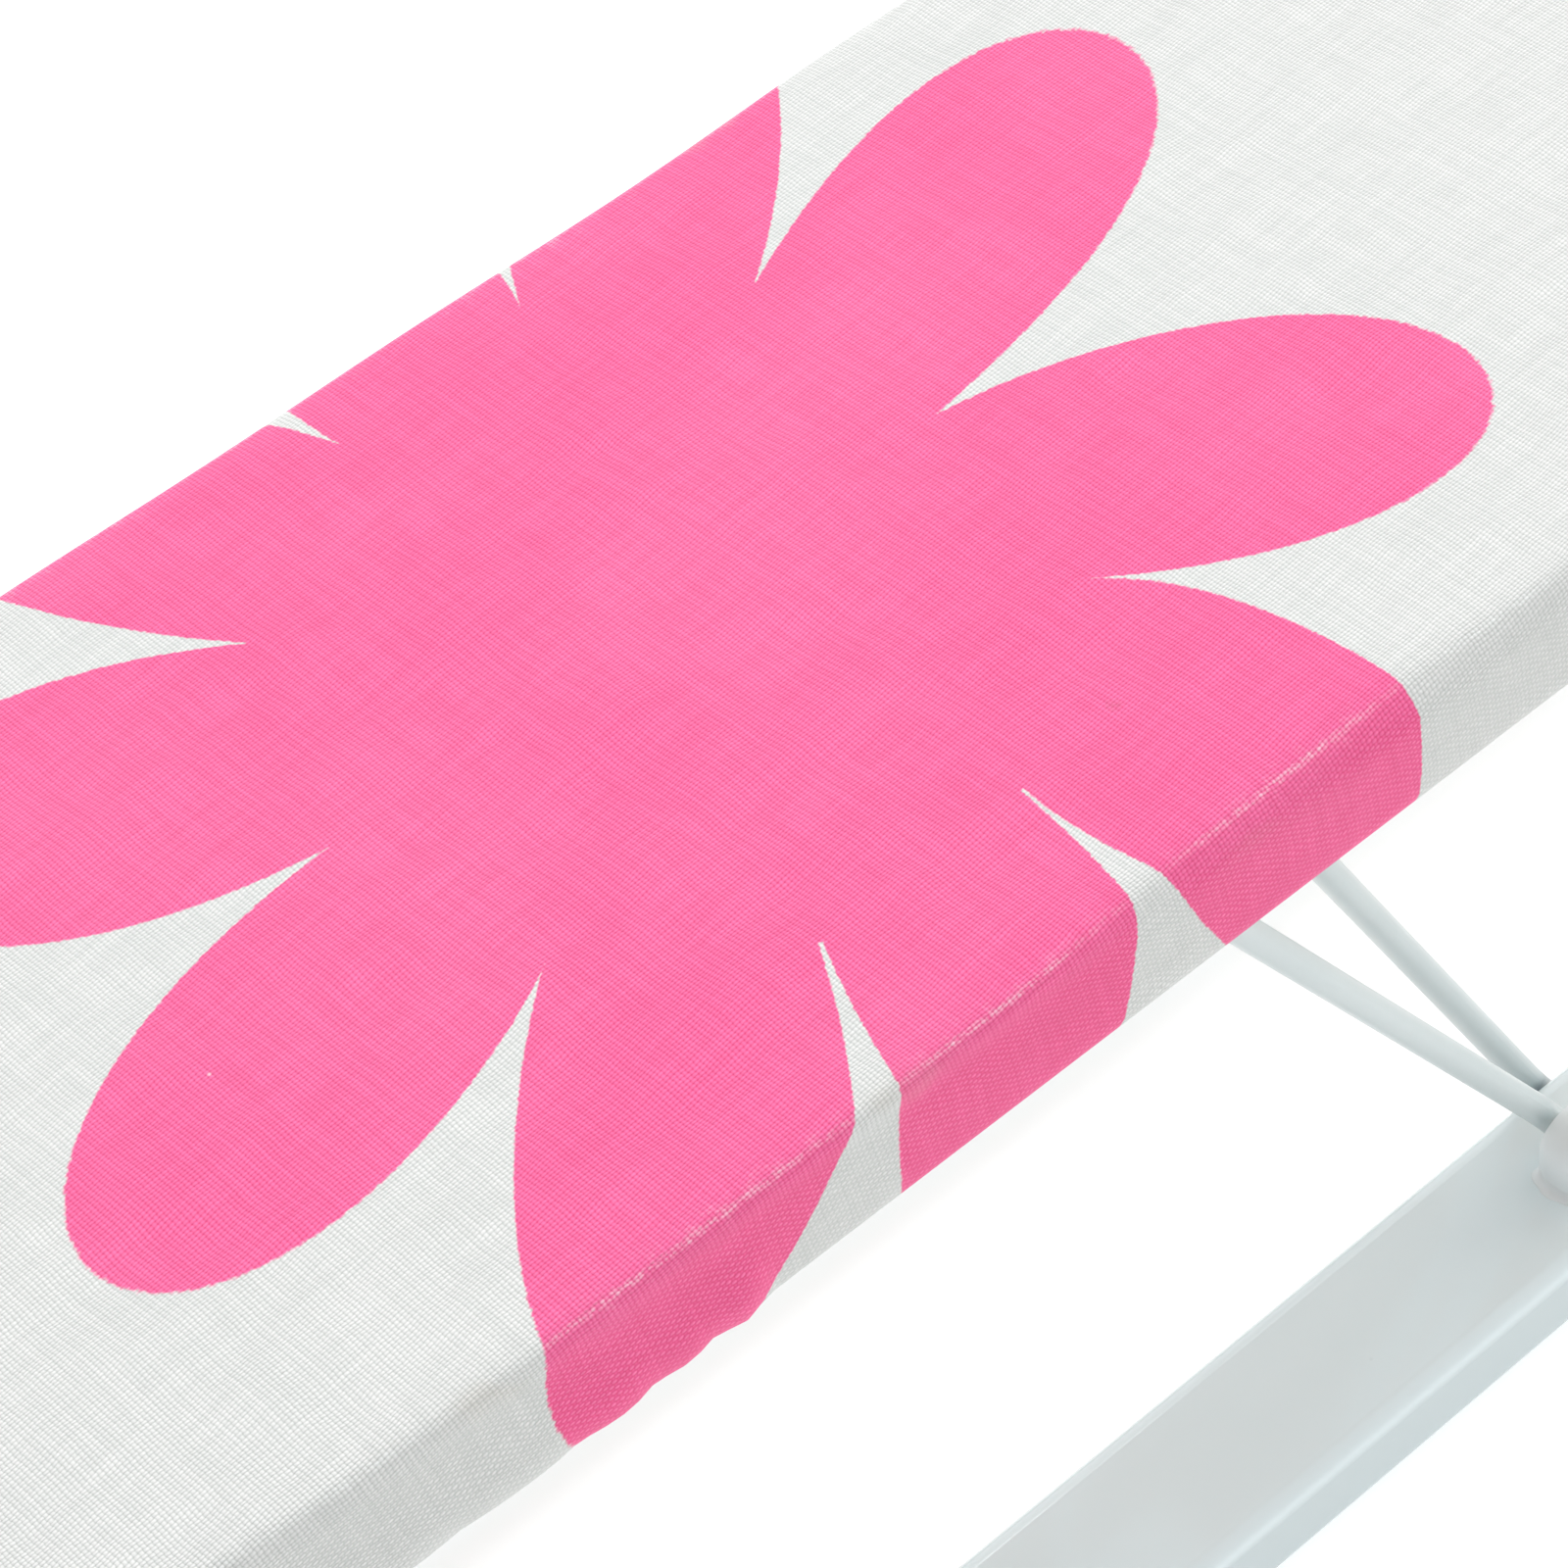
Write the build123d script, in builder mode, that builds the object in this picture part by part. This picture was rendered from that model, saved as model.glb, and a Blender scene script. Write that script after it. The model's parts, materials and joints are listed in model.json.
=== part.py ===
from build123d import *
import os
from math import cos, radians, sin

# Table-top sleeve ironing board with a folding wire frame, in millimetres.
# +X runs along the board from its nose to its heel, +Y to its far side and +Z up.
# The origin is on the table, under the middle of the board.

# ---- board ----
BOARD_LENGTH = 520.0
BOARD_TOP = 162.0  # height of the ironing surface above the table
SIDE_HEIGHT = 18.8  # covered edge of the board, from the top crease to the tucked underside
NOSE_HALF_WIDTH = 40.0
SHOULDER_HALF_WIDTH = 58.0
HEEL_HALF_WIDTH = 61.5
SHOULDER_X = -115.0  # where the narrow nose begins
NOSE_RADIUS = 41.0
SHOULDER_RADIUS = 500.0
HEEL_RADIUS = 26.0
COVER_THICKNESS = 0.8
PAD_THICKNESS = 4.2
CREASE_RADIUS = 1.8  # top edge of the cover
TUCK_RADIUS = 4.5  # where the cover turns under the board
HEM_INSET = 13.0  # outer edge of the hem channel, from the outline
HEM_WIDTH = 4.0
HEM_DEPTH = 3.0
ELASTIC_WIDTH = 2.0
ELASTIC_DEPTH = 1.2

CORE_BOTTOM = BOARD_TOP - SIDE_HEIGHT + COVER_THICKNESS
PAD_TOP = BOARD_TOP - COVER_THICKNESS
CORE_TOP = PAD_TOP - PAD_THICKNESS

# ---- wire frame ----
ROD_RADIUS = 2.0
ROD_CHAMFER = 0.4
RUNNING_GAP = 0.05  # radial clearance of a rod in a lug or a bush
CLIP_GAP = 0.1  # radial clearance of a cross-bar in its clips
LEG_LEAN = radians(30.9)  # from vertical, top towards the nose
LEG_SPACING = 120.0
LEG_HALF_WIDTH = 34.5
LEG_STUB_END = 44.7  # distance of an out-turned end from the centre plane
LEG_FOOT_X = 68.4
LEG_TOP_Z = CORE_BOTTOM - ROD_RADIUS - CLIP_GAP
LEG_BEND = 3.5
LEG_CORNER = 10.0
STAY_LEAN = radians(25.1)
STAY_LENGTH = 131.4
STAY_HALF_WIDTH = 24.8
STAY_STUB_END = 31.0
STAY_FOOT_X = 76.9
STAY_BEND = 2.8
STAY_CORNER = 9.0

# ---- base ----
FOOT_HEIGHT = 2.5
FOOT_RADIUS = 9.0
FOOT_ROUND = 0.8
FOOT_ANGLE = radians(40)  # from the board's axis, about the middle of a bow
PEG_RADIUS = 2.5  # a foot's peg, pressed into its bow
PEG_LENGTH = 5.0
RAIL_WIDTH = 22.7
RAIL_HEIGHT = 14.5
RAIL_CROWN = 0.3  # rise of the rail's top face across its width
RAIL_CORNER = 2.6
RAIL_WALL = 1.2
RAIL_Y = 39.35
RAIL_NOSE_X = -150.0
RAIL_HEEL_X = 200.0
RAIL_TOP = FOOT_HEIGHT + RAIL_HEIGHT
SPIGOT_LENGTH = 18.0
SPIGOT_GAP = 0.15
BOW_SCREW_LENGTH = 8.0
LUG_RADIUS = 5.5
LUG_Y = 41.0
LUG_SINK = 1.0  # how far a lug reaches down into the rail's crowned top
LUG_FACE = 38.0  # distance of a lug's flat inner face from the centre plane
LUG_AXIS_Z = 22.0
LUG_BORE_END = 45.0
BUSH_AXIS_Z = 10.5
BUSH_RADIUS = 2.7
BUSH_DEPTH = 3.6
BUSH_FLANGE = 0.5
BUSH_FLANGE_RADIUS = 3.2

LEG_LENGTH = (LEG_TOP_Z - LUG_AXIS_Z) / cos(LEG_LEAN)
LEG_FEET = {"front": LEG_FOOT_X, "rear": LEG_FOOT_X + LEG_SPACING}
LEG_TOP_SHIFT = -LEG_LENGTH * sin(LEG_LEAN)
STAY_TOP_X = STAY_FOOT_X - STAY_LENGTH * sin(STAY_LEAN)
STAY_TOP_Z = BUSH_AXIS_Z + STAY_LENGTH * cos(STAY_LEAN)
SIDES = {"near": -1, "far": 1}

# ---- clips, screws and the stay's catch ----
CLIP_THICKNESS = 1.2
CLIP_WIDTH = 12.0
CLIP_LENGTH = 25.0
CLIP_CORNER = 3.0
CLIP_Y = 20.0
CLIP_SCREW_X = 9.2  # from the cross-bar's axis
SCREW_RADIUS = 1.5
SCREW_LENGTH = 9.0
SCREW_HEAD_RADIUS = 2.9
SCREW_HEAD_HEIGHT = 1.7
SCREW_HEAD_ROUND = 0.8
RECESS_LENGTH = 3.2
RECESS_WIDTH = 0.7
RECESS_DEPTH = 0.9
CATCH_WIDTH = 16.0
CATCH_RADIUS = 4.7
CATCH_SLOT = 2.35  # half height of the slot that takes the stay
CATCH_MOUTH = 3.0  # from the slot's centre to the tips of its jaws
CATCH_CENTRE_X = STAY_TOP_X + 8.0
CATCH_PLATE = 2.4
CATCH_PLATE_LENGTH = 24.0
CATCH_PLATE_WIDTH = 38.0
CATCH_PLATE_CORNER = 4.0
CATCH_SCREW_Y = 13.5
CATCH_RIB = 3.0
CATCH_RIB_STEP = 1.0  # from the rib's toe to the end of the plate

STANDING = (Align.CENTER, Align.CENTER, Align.MIN)
HANGING = (Align.CENTER, Align.CENTER, Align.MAX)

os.makedirs("parts", exist_ok=True)


def board_outline(inset):
    """Return the board's plan shape, smaller by inset all round."""
    half = BOARD_LENGTH / 2
    near_side = [(half, -HEEL_HALF_WIDTH), (SHOULDER_X, -SHOULDER_HALF_WIDTH), (-half, -NOSE_HALF_WIDTH)]
    far_side = [(x, -y) for x, y in reversed(near_side)]
    radii = [HEEL_RADIUS, SHOULDER_RADIUS, NOSE_RADIUS]
    with BuildSketch() as plan:
        with BuildLine():
            FilletPolyline(*near_side, *far_side, radius=radii + radii[::-1], close=True)
        make_face()
        if inset:
            offset(amount=-inset)
    return plan.sketch


def pan_head_screws(sites, seat_z, length, name):
    """Make one group of screws that point up, with their heads under the height seat_z."""
    seats = [(x, y, seat_z) for x, y in sites]
    drives = [(x, y, seat_z - SCREW_HEAD_HEIGHT) for x, y in sites]
    with BuildPart() as screws:
        with Locations(*seats):
            Cylinder(SCREW_HEAD_RADIUS, SCREW_HEAD_HEIGHT, align=HANGING)
        fillet(screws.edges().group_by(Axis.Z)[0], SCREW_HEAD_ROUND)
        with Locations(*drives):
            Box(RECESS_LENGTH, RECESS_WIDTH, RECESS_DEPTH, align=STANDING, mode=Mode.SUBTRACT)
            Box(RECESS_WIDTH, RECESS_LENGTH, RECESS_DEPTH, align=STANDING, mode=Mode.SUBTRACT)
        with Locations(*seats):
            Cylinder(SCREW_RADIUS, length, align=STANDING)
    screws.part.label = name
    export_step(screws.part, f"parts/{name}.step")


def wire_bail(name, foot, lean, length, half_width, stub_end, bends):
    """Make a U-shaped wire: out-turned ends on the foot's axis, and a cross-bar at the top."""
    outer_bend, corner = bends
    bail_plane = Plane(origin=foot, x_dir=(0, 1, 0), z_dir=(cos(lean), 0, sin(lean)))
    near_side = [(-stub_end, 0), (-half_width, 0), (-half_width, length)]
    far_side = [(-y, up) for y, up in reversed(near_side)]
    with BuildPart() as bail:
        with BuildLine(bail_plane) as centre:
            FilletPolyline(*near_side, *far_side, radius=[outer_bend, corner, corner, outer_bend])
        with BuildSketch(Plane(origin=centre.line @ 0, z_dir=centre.line % 0)):
            Circle(ROD_RADIUS)
        sweep()
        chamfer(bail.faces().filter_by(Axis.Y).edges(), ROD_CHAMFER)
    bail.part.label = name
    export_step(bail.part, f"parts/{name}.step")


# ---- where things are fastened under the board ----
clip_sites = {
    leg: [
        (foot_x + LEG_TOP_SHIFT + step * CLIP_SCREW_X, side * CLIP_Y)
        for side in SIDES.values()
        for step in (-1, 1)
    ]
    for leg, foot_x in LEG_FEET.items()
}
catch_sites = [(CATCH_CENTRE_X, side * CATCH_SCREW_Y) for side in SIDES.values()]
underside_sites = clip_sites["front"] + clip_sites["rear"] + catch_sites

# ---- board: core, pad, cover and elastic ----
outer_plan = board_outline(0)
filling_plan = board_outline(COVER_THICKNESS)
hem_plan = board_outline(HEM_INSET)
window_plan = board_outline(HEM_INSET + HEM_WIDTH)
elastic_outer_plan = board_outline(HEM_INSET + (HEM_WIDTH - ELASTIC_WIDTH) / 2)
elastic_inner_plan = board_outline(HEM_INSET + (HEM_WIDTH + ELASTIC_WIDTH) / 2)

# The core and the pad together fill the cover.
with BuildPart() as filling:
    with BuildSketch(Plane.XY.offset(CORE_BOTTOM)):
        add(filling_plan)
    extrude(amount=PAD_TOP - CORE_BOTTOM)
    fillet(filling.edges().group_by(Axis.Z)[0], TUCK_RADIUS - COVER_THICKNESS)
    fillet(filling.edges().group_by(Axis.Z)[-1], CREASE_RADIUS - COVER_THICKNESS)

with BuildPart() as board_core:
    add(filling.part)
    split(bisect_by=Plane.XY.offset(CORE_TOP), keep=Keep.BOTTOM)
    with Locations(*[(x, y, CORE_BOTTOM) for x, y in underside_sites]):
        Cylinder(SCREW_RADIUS, SCREW_LENGTH, align=STANDING, mode=Mode.SUBTRACT)
board_core.part.label = "board_core"
export_step(board_core.part, "parts/board_core.step")

with BuildPart() as felt_pad:
    add(filling.part)
    split(bisect_by=Plane.XY.offset(CORE_TOP), keep=Keep.TOP)
felt_pad.part.label = "felt_pad"
export_step(felt_pad.part, "parts/felt_pad.step")

with BuildPart() as hem_elastic:
    with BuildSketch(Plane.XY.offset(CORE_BOTTOM - (HEM_DEPTH + ELASTIC_DEPTH) / 2)):
        add(elastic_outer_plan)
        add(elastic_inner_plan, mode=Mode.SUBTRACT)
    extrude(amount=ELASTIC_DEPTH)
hem_elastic.part.label = "hem_elastic"
export_step(hem_elastic.part, "parts/hem_elastic.step")

# The cover wraps the pad and the core's edge, and ends in a hem channel under the board.
with BuildPart() as cover:
    with BuildSketch(Plane.XY.offset(BOARD_TOP - SIDE_HEIGHT)):
        add(outer_plan)
    extrude(amount=SIDE_HEIGHT)
    fillet(cover.edges().group_by(Axis.Z)[-1], CREASE_RADIUS)
    fillet(cover.edges().group_by(Axis.Z)[0], TUCK_RADIUS)
    with BuildSketch(Plane.XY.offset(CORE_BOTTOM - HEM_DEPTH)):
        add(hem_plan)
    extrude(amount=HEM_DEPTH)
    with BuildSketch(Plane.XY.offset(CORE_BOTTOM - HEM_DEPTH)):
        add(window_plan)
    extrude(amount=HEM_DEPTH, mode=Mode.SUBTRACT)
    add(filling.part, mode=Mode.SUBTRACT)
    add(hem_elastic.part, mode=Mode.SUBTRACT)
cover.part.label = "cover"
export_step(cover.part, "parts/cover.step")

# ---- saddle clips round the legs' cross-bars ----
for leg, foot_x in LEG_FEET.items():
    for side_name, side in SIDES.items():
        near_edge = side * CLIP_Y + CLIP_WIDTH / 2
        clip_plane = Plane(
            origin=(foot_x + LEG_TOP_SHIFT, near_edge, LEG_TOP_Z), x_dir=(1, 0, 0), z_dir=(0, -1, 0)
        )
        bore = ROD_RADIUS + CLIP_GAP
        shell = bore + CLIP_THICKNESS
        rise = CORE_BOTTOM - LEG_TOP_Z
        with BuildPart() as clip:
            with BuildSketch(clip_plane):
                Circle(shell)
                with Locations((0, rise)):
                    Rectangle(2 * shell, rise, align=(Align.CENTER, Align.MAX))
                    Rectangle(CLIP_LENGTH, CLIP_THICKNESS, align=(Align.CENTER, Align.MAX))
                Circle(bore, mode=Mode.SUBTRACT)
                with Locations((0, rise)):
                    Rectangle(2 * bore, rise, align=(Align.CENTER, Align.MAX), mode=Mode.SUBTRACT)
                with Locations((0, rise + shell)):
                    Rectangle(CLIP_LENGTH, shell, align=(Align.CENTER, Align.MAX), mode=Mode.SUBTRACT)
            extrude(amount=CLIP_WIDTH)
            fillet(clip.edges().filter_by(Axis.Z).group_by(Axis.X)[0], CLIP_CORNER)
            fillet(clip.edges().filter_by(Axis.Z).group_by(Axis.X)[-1], CLIP_CORNER)
            with Locations(*[(x, y, CORE_BOTTOM) for x, y in clip_sites[leg]]):
                Cylinder(SCREW_RADIUS, CLIP_THICKNESS, align=HANGING, mode=Mode.SUBTRACT)
        clip_name = f"{leg}_{side_name}_clip"
        clip.part.label = clip_name
        export_step(clip.part, f"parts/{clip_name}.step")

clip_screw_seat = CORE_BOTTOM - CLIP_THICKNESS
pan_head_screws(clip_sites["front"], clip_screw_seat, SCREW_LENGTH, "front_clip_screws")
pan_head_screws(clip_sites["rear"], clip_screw_seat, SCREW_LENGTH, "rear_clip_screws")

# ---- snap catch: a plate under the core, a post, and two jaws open towards the nose ----
catch_plane = Plane(origin=(0, CATCH_WIDTH / 2, 0), x_dir=(1, 0, 0), z_dir=(0, -1, 0))
with BuildPart() as stay_catch:
    with BuildSketch(catch_plane):
        with Locations((STAY_TOP_X, STAY_TOP_Z)):
            Circle(CATCH_RADIUS)
            Rectangle(CATCH_RADIUS, CORE_BOTTOM - STAY_TOP_Z, align=(Align.MIN, Align.MIN))
            Circle(CATCH_SLOT, mode=Mode.SUBTRACT)
            Rectangle(2 * CATCH_RADIUS, 2 * CATCH_SLOT, align=(Align.MAX, Align.CENTER), mode=Mode.SUBTRACT)
        with Locations((STAY_TOP_X - CATCH_MOUTH, STAY_TOP_Z)):
            Rectangle(CATCH_RADIUS, 2 * CATCH_RADIUS, align=(Align.MAX, Align.CENTER), mode=Mode.SUBTRACT)
    extrude(amount=CATCH_WIDTH)
    with BuildSketch(Plane.XY.offset(CORE_BOTTOM)):
        with Locations((CATCH_CENTRE_X, 0)):
            RectangleRounded(CATCH_PLATE_LENGTH, CATCH_PLATE_WIDTH, CATCH_PLATE_CORNER)
    extrude(amount=-CATCH_PLATE)
    with BuildSketch(Plane.XZ.offset(-CATCH_RIB / 2)):
        with BuildLine():
            Polyline(
                (STAY_TOP_X + CATCH_RADIUS, STAY_TOP_Z + CATCH_RADIUS),
                (STAY_TOP_X + CATCH_RADIUS, CORE_BOTTOM - CATCH_PLATE),
                (CATCH_CENTRE_X + CATCH_PLATE_LENGTH / 2 - CATCH_RIB_STEP, CORE_BOTTOM - CATCH_PLATE),
                close=True,
            )
        make_face()
    extrude(amount=CATCH_RIB)
    with Locations(*[(x, y, CORE_BOTTOM) for x, y in catch_sites]):
        Cylinder(SCREW_RADIUS, CATCH_PLATE, align=HANGING, mode=Mode.SUBTRACT)
stay_catch.part.label = "stay_catch"
export_step(stay_catch.part, "parts/stay_catch.step")
pan_head_screws(catch_sites, CORE_BOTTOM - CATCH_PLATE, SCREW_LENGTH, "catch_screws")

# ---- wire bails ----
for leg, foot_x in LEG_FEET.items():
    leg_foot = (foot_x, 0, LUG_AXIS_Z)
    wire_bail(
        f"{leg}_leg", leg_foot, LEG_LEAN, LEG_LENGTH, LEG_HALF_WIDTH, LEG_STUB_END, (LEG_BEND, LEG_CORNER)
    )
stay_foot = (STAY_FOOT_X, 0, BUSH_AXIS_Z)
wire_bail(
    "stay", stay_foot, STAY_LEAN, STAY_LENGTH, STAY_HALF_WIDTH, STAY_STUB_END, (STAY_BEND, STAY_CORNER)
)

# ---- base loop: two flat-oval rails joined by moulded bows ----
# The section is drawn about x = 0 with its underside at y = 0.
with BuildSketch() as rail_section:
    half = RAIL_WIDTH / 2
    shoulder = RAIL_HEIGHT - RAIL_CROWN
    with BuildLine():
        ThreePointArc((-half, shoulder), (0, RAIL_HEIGHT), (half, shoulder))
        Polyline((half, shoulder), (half, 0), (-half, 0), (-half, shoulder))
    make_face()
    fillet(rail_section.vertices(), RAIL_CORNER)
with BuildSketch() as rail_bore:
    add(rail_section.sketch)
    offset(amount=-RAIL_WALL)
with BuildSketch() as spigot_section:
    add(rail_bore.sketch)
    offset(amount=-SPIGOT_GAP)

rail_starts = {
    side: Plane(origin=(RAIL_NOSE_X, side * RAIL_Y, FOOT_HEIGHT), x_dir=(0, 1, 0), z_dir=(1, 0, 0))
    for side in SIDES.values()
}
inner_walls = {side: side * (RAIL_Y - RAIL_WIDTH / 2) for side in SIDES.values()}
bow_screw_x = {"nose": RAIL_NOSE_X + SPIGOT_LENGTH / 2, "heel": RAIL_HEEL_X - SPIGOT_LENGTH / 2}
foot_pegs = {
    f"{end}_{side_name}_foot": (
        end_x + outward * RAIL_Y * cos(FOOT_ANGLE),
        side * RAIL_Y * sin(FOOT_ANGLE),
    )
    for end, end_x, outward in (("nose", RAIL_NOSE_X, -1), ("heel", RAIL_HEEL_X, 1))
    for side_name, side in SIDES.items()
}

for side_name, side in SIDES.items():
    with BuildPart() as rail:
        with BuildSketch(rail_starts[side]):
            add(rail_section.sketch)
            add(rail_bore.sketch, mode=Mode.SUBTRACT)
        extrude(amount=RAIL_HEEL_X - RAIL_NOSE_X)
        with Locations(*[(x, side * RAIL_Y, FOOT_HEIGHT) for x in bow_screw_x.values()]):
            Cylinder(SCREW_RADIUS, RAIL_WALL, align=STANDING, mode=Mode.SUBTRACT)
        with Locations(Location((STAY_FOOT_X, inner_walls[side], BUSH_AXIS_Z), (90, 0, 0))):
            Cylinder(BUSH_RADIUS, 2 * BUSH_DEPTH, mode=Mode.SUBTRACT)
    rail_name = f"{side_name}_rail"
    rail.part.label = rail_name
    export_step(rail.part, f"parts/{rail_name}.step")

# Each bow turns through half a circle and ends in two spigots inside the rails.
for end, end_x, outward in (("nose", RAIL_NOSE_X, -1), ("heel", RAIL_HEEL_X, 1)):
    with BuildPart() as bow:
        start = Plane(origin=(end_x, -RAIL_Y, FOOT_HEIGHT), x_dir=(0, 1, 0), z_dir=(1, 0, 0))
        with BuildSketch(start):
            add(rail_section.sketch)
        revolve(axis=Axis((end_x, 0, 0), (0, 0, outward)), revolution_arc=180)
        for side in SIDES.values():
            spigot_end = (end_x, side * RAIL_Y, FOOT_HEIGHT)
            with BuildSketch(Plane(origin=spigot_end, x_dir=(0, 1, 0), z_dir=(1, 0, 0))):
                add(spigot_section.sketch)
            extrude(amount=-outward * SPIGOT_LENGTH)
        screw_holes = [(bow_screw_x[end], side * RAIL_Y, FOOT_HEIGHT) for side in SIDES.values()]
        peg_holes = [(x, y, FOOT_HEIGHT) for name, (x, y) in foot_pegs.items() if name.startswith(end)]
        with Locations(*screw_holes):
            Cylinder(SCREW_RADIUS, BOW_SCREW_LENGTH, align=STANDING, mode=Mode.SUBTRACT)
        with Locations(*peg_holes):
            Cylinder(PEG_RADIUS, PEG_LENGTH, align=STANDING, mode=Mode.SUBTRACT)
    bow_name = f"{end}_bow"
    bow.part.label = bow_name
    export_step(bow.part, f"parts/{bow_name}.step")

bow_sites = [(x, side * RAIL_Y) for x in bow_screw_x.values() for side in SIDES.values()]
pan_head_screws(bow_sites, FOOT_HEIGHT, BOW_SCREW_LENGTH, "bow_screws")

for foot_name, (x, y) in foot_pegs.items():
    with BuildPart() as foot:
        with Locations((x, y, 0)):
            Cylinder(FOOT_RADIUS, FOOT_HEIGHT, align=STANDING)
        fillet(foot.edges().group_by(Axis.Z)[0], FOOT_ROUND)
        with Locations((x, y, FOOT_HEIGHT)):
            Cylinder(PEG_RADIUS, PEG_LENGTH, align=STANDING)
    foot.part.label = foot_name
    export_step(foot.part, f"parts/{foot_name}.step")

# ---- domed lugs on the rails and bushes in their inner walls ----
for side_name, side in SIDES.items():
    for leg, foot_x in LEG_FEET.items():
        with BuildPart() as lug:
            with Locations((foot_x, side * LUG_Y, LUG_AXIS_Z)):
                Sphere(LUG_RADIUS)
                Cylinder(LUG_RADIUS, LUG_AXIS_Z - RAIL_TOP + LUG_SINK, align=HANGING)
            with Locations((foot_x, side * (LUG_FACE - LUG_RADIUS), LUG_AXIS_Z)):
                Box(4 * LUG_RADIUS, 2 * LUG_RADIUS, 4 * LUG_RADIUS, mode=Mode.SUBTRACT)
            with Locations(Location((foot_x, side * LUG_FACE, LUG_AXIS_Z), (90, 0, 0))):
                Cylinder(ROD_RADIUS + RUNNING_GAP, 2 * (LUG_BORE_END - LUG_FACE), mode=Mode.SUBTRACT)
            with BuildSketch(rail_starts[side]):
                add(rail_section.sketch)
            extrude(amount=RAIL_HEEL_X - RAIL_NOSE_X, mode=Mode.SUBTRACT)
        lug_name = f"{leg}_{side_name}_lug"
        lug.part.label = lug_name
        export_step(lug.part, f"parts/{lug_name}.step")

    bush_seat = (STAY_FOOT_X, inner_walls[side], BUSH_AXIS_Z)
    with BuildPart() as bush:
        with BuildSketch(Plane(origin=bush_seat, z_dir=(0, side, 0))):
            Circle(BUSH_RADIUS)
            Circle(ROD_RADIUS + RUNNING_GAP, mode=Mode.SUBTRACT)
        extrude(amount=BUSH_DEPTH)
        with BuildSketch(Plane(origin=bush_seat, z_dir=(0, -side, 0))):
            Circle(BUSH_FLANGE_RADIUS)
            Circle(ROD_RADIUS + RUNNING_GAP, mode=Mode.SUBTRACT)
        extrude(amount=BUSH_FLANGE)
    bush_name = f"{side_name}_bush"
    bush.part.label = bush_name
    export_step(bush.part, f"parts/{bush_name}.step")
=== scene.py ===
import json
import math

import bmesh
import bpy
import numpy as np
from mathutils import Matrix, Vector


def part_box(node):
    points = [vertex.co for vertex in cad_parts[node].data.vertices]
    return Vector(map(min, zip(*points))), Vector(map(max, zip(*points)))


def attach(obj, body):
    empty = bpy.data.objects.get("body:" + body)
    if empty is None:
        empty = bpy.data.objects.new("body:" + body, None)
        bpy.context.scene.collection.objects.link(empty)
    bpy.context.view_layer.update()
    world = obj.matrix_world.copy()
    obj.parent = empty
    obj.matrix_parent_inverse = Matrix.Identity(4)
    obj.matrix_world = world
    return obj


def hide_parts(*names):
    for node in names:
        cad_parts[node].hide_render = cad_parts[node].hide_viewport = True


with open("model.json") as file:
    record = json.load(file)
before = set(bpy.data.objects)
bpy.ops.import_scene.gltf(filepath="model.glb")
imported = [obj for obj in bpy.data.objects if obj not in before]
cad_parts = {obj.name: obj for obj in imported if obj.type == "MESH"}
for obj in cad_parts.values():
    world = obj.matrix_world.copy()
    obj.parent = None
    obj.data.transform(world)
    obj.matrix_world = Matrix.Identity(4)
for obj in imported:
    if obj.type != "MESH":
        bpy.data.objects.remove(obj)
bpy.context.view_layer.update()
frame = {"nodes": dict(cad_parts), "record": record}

MM = 0.001

# ---- plan of the covered board, as in the CAD model ----
cover_low, cover_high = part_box("cover")
felt_low, felt_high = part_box("felt_pad")
elastic_low, elastic_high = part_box("hem_elastic")
HALF_LENGTH = (cover_high.x - cover_low.x) / 2
HEEL_HALF_WIDTH = (cover_high.y - cover_low.y) / 2
SHOULDER_HALF_WIDTH = 58 * MM
NOSE_HALF_WIDTH = 40 * MM
SHOULDER_X = -115 * MM
CORNERS = [  # corner of the near half and its radius
    ((HALF_LENGTH, -HEEL_HALF_WIDTH), 26 * MM),
    ((SHOULDER_X, -SHOULDER_HALF_WIDTH), 500 * MM),
    ((-HALF_LENGTH, -NOSE_HALF_WIDTH), 41 * MM),
]
TOP = cover_high.z
CLOTH = 0.5 * MM  # thickness of the cotton
ARC_STEP = 0.4 * MM  # spacing of the points on the plan's rounded corners
ARC_FEWEST = 6


def smoothstep(t):
    """Rise from 0 to 1 while t does, gently at both ends."""
    t = np.clip(t, 0, 1)
    return t * t * (3 - 2 * t)


def band(value, start, rise, end, fall):
    """0 before start, 1 once value has risen past it, and 0 again once it has fallen away past end."""
    return smoothstep((value - start) / rise) * (1 - smoothstep((value - end) / fall))


def half_outline():
    """Trace the near half of the plan from the middle of the heel to the middle of the nose."""
    path = [np.array((HALF_LENGTH, 0.0))]
    ends = [path[0]] + [np.array(c) for c, _ in CORNERS] + [np.array((-HALF_LENGTH, 0.0))]
    for before, corner, after, (_, radius) in zip(ends, ends[1:], ends[2:], CORNERS):
        into = (corner - before) / np.linalg.norm(corner - before)
        out = (after - corner) / np.linalg.norm(after - corner)
        turn = math.acos(np.clip(into @ out, -1, 1))
        start = corner - into * radius * math.tan(turn / 2)
        inward = np.array((into[1], -into[0]))
        centre = start + inward * radius
        for angle in np.linspace(0, turn, max(ARC_FEWEST, int(radius * turn / ARC_STEP))):
            path.append(centre - inward * radius * math.cos(angle) + into * radius * math.sin(angle))
    path.append(ends[-1])
    return np.array(path)


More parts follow.
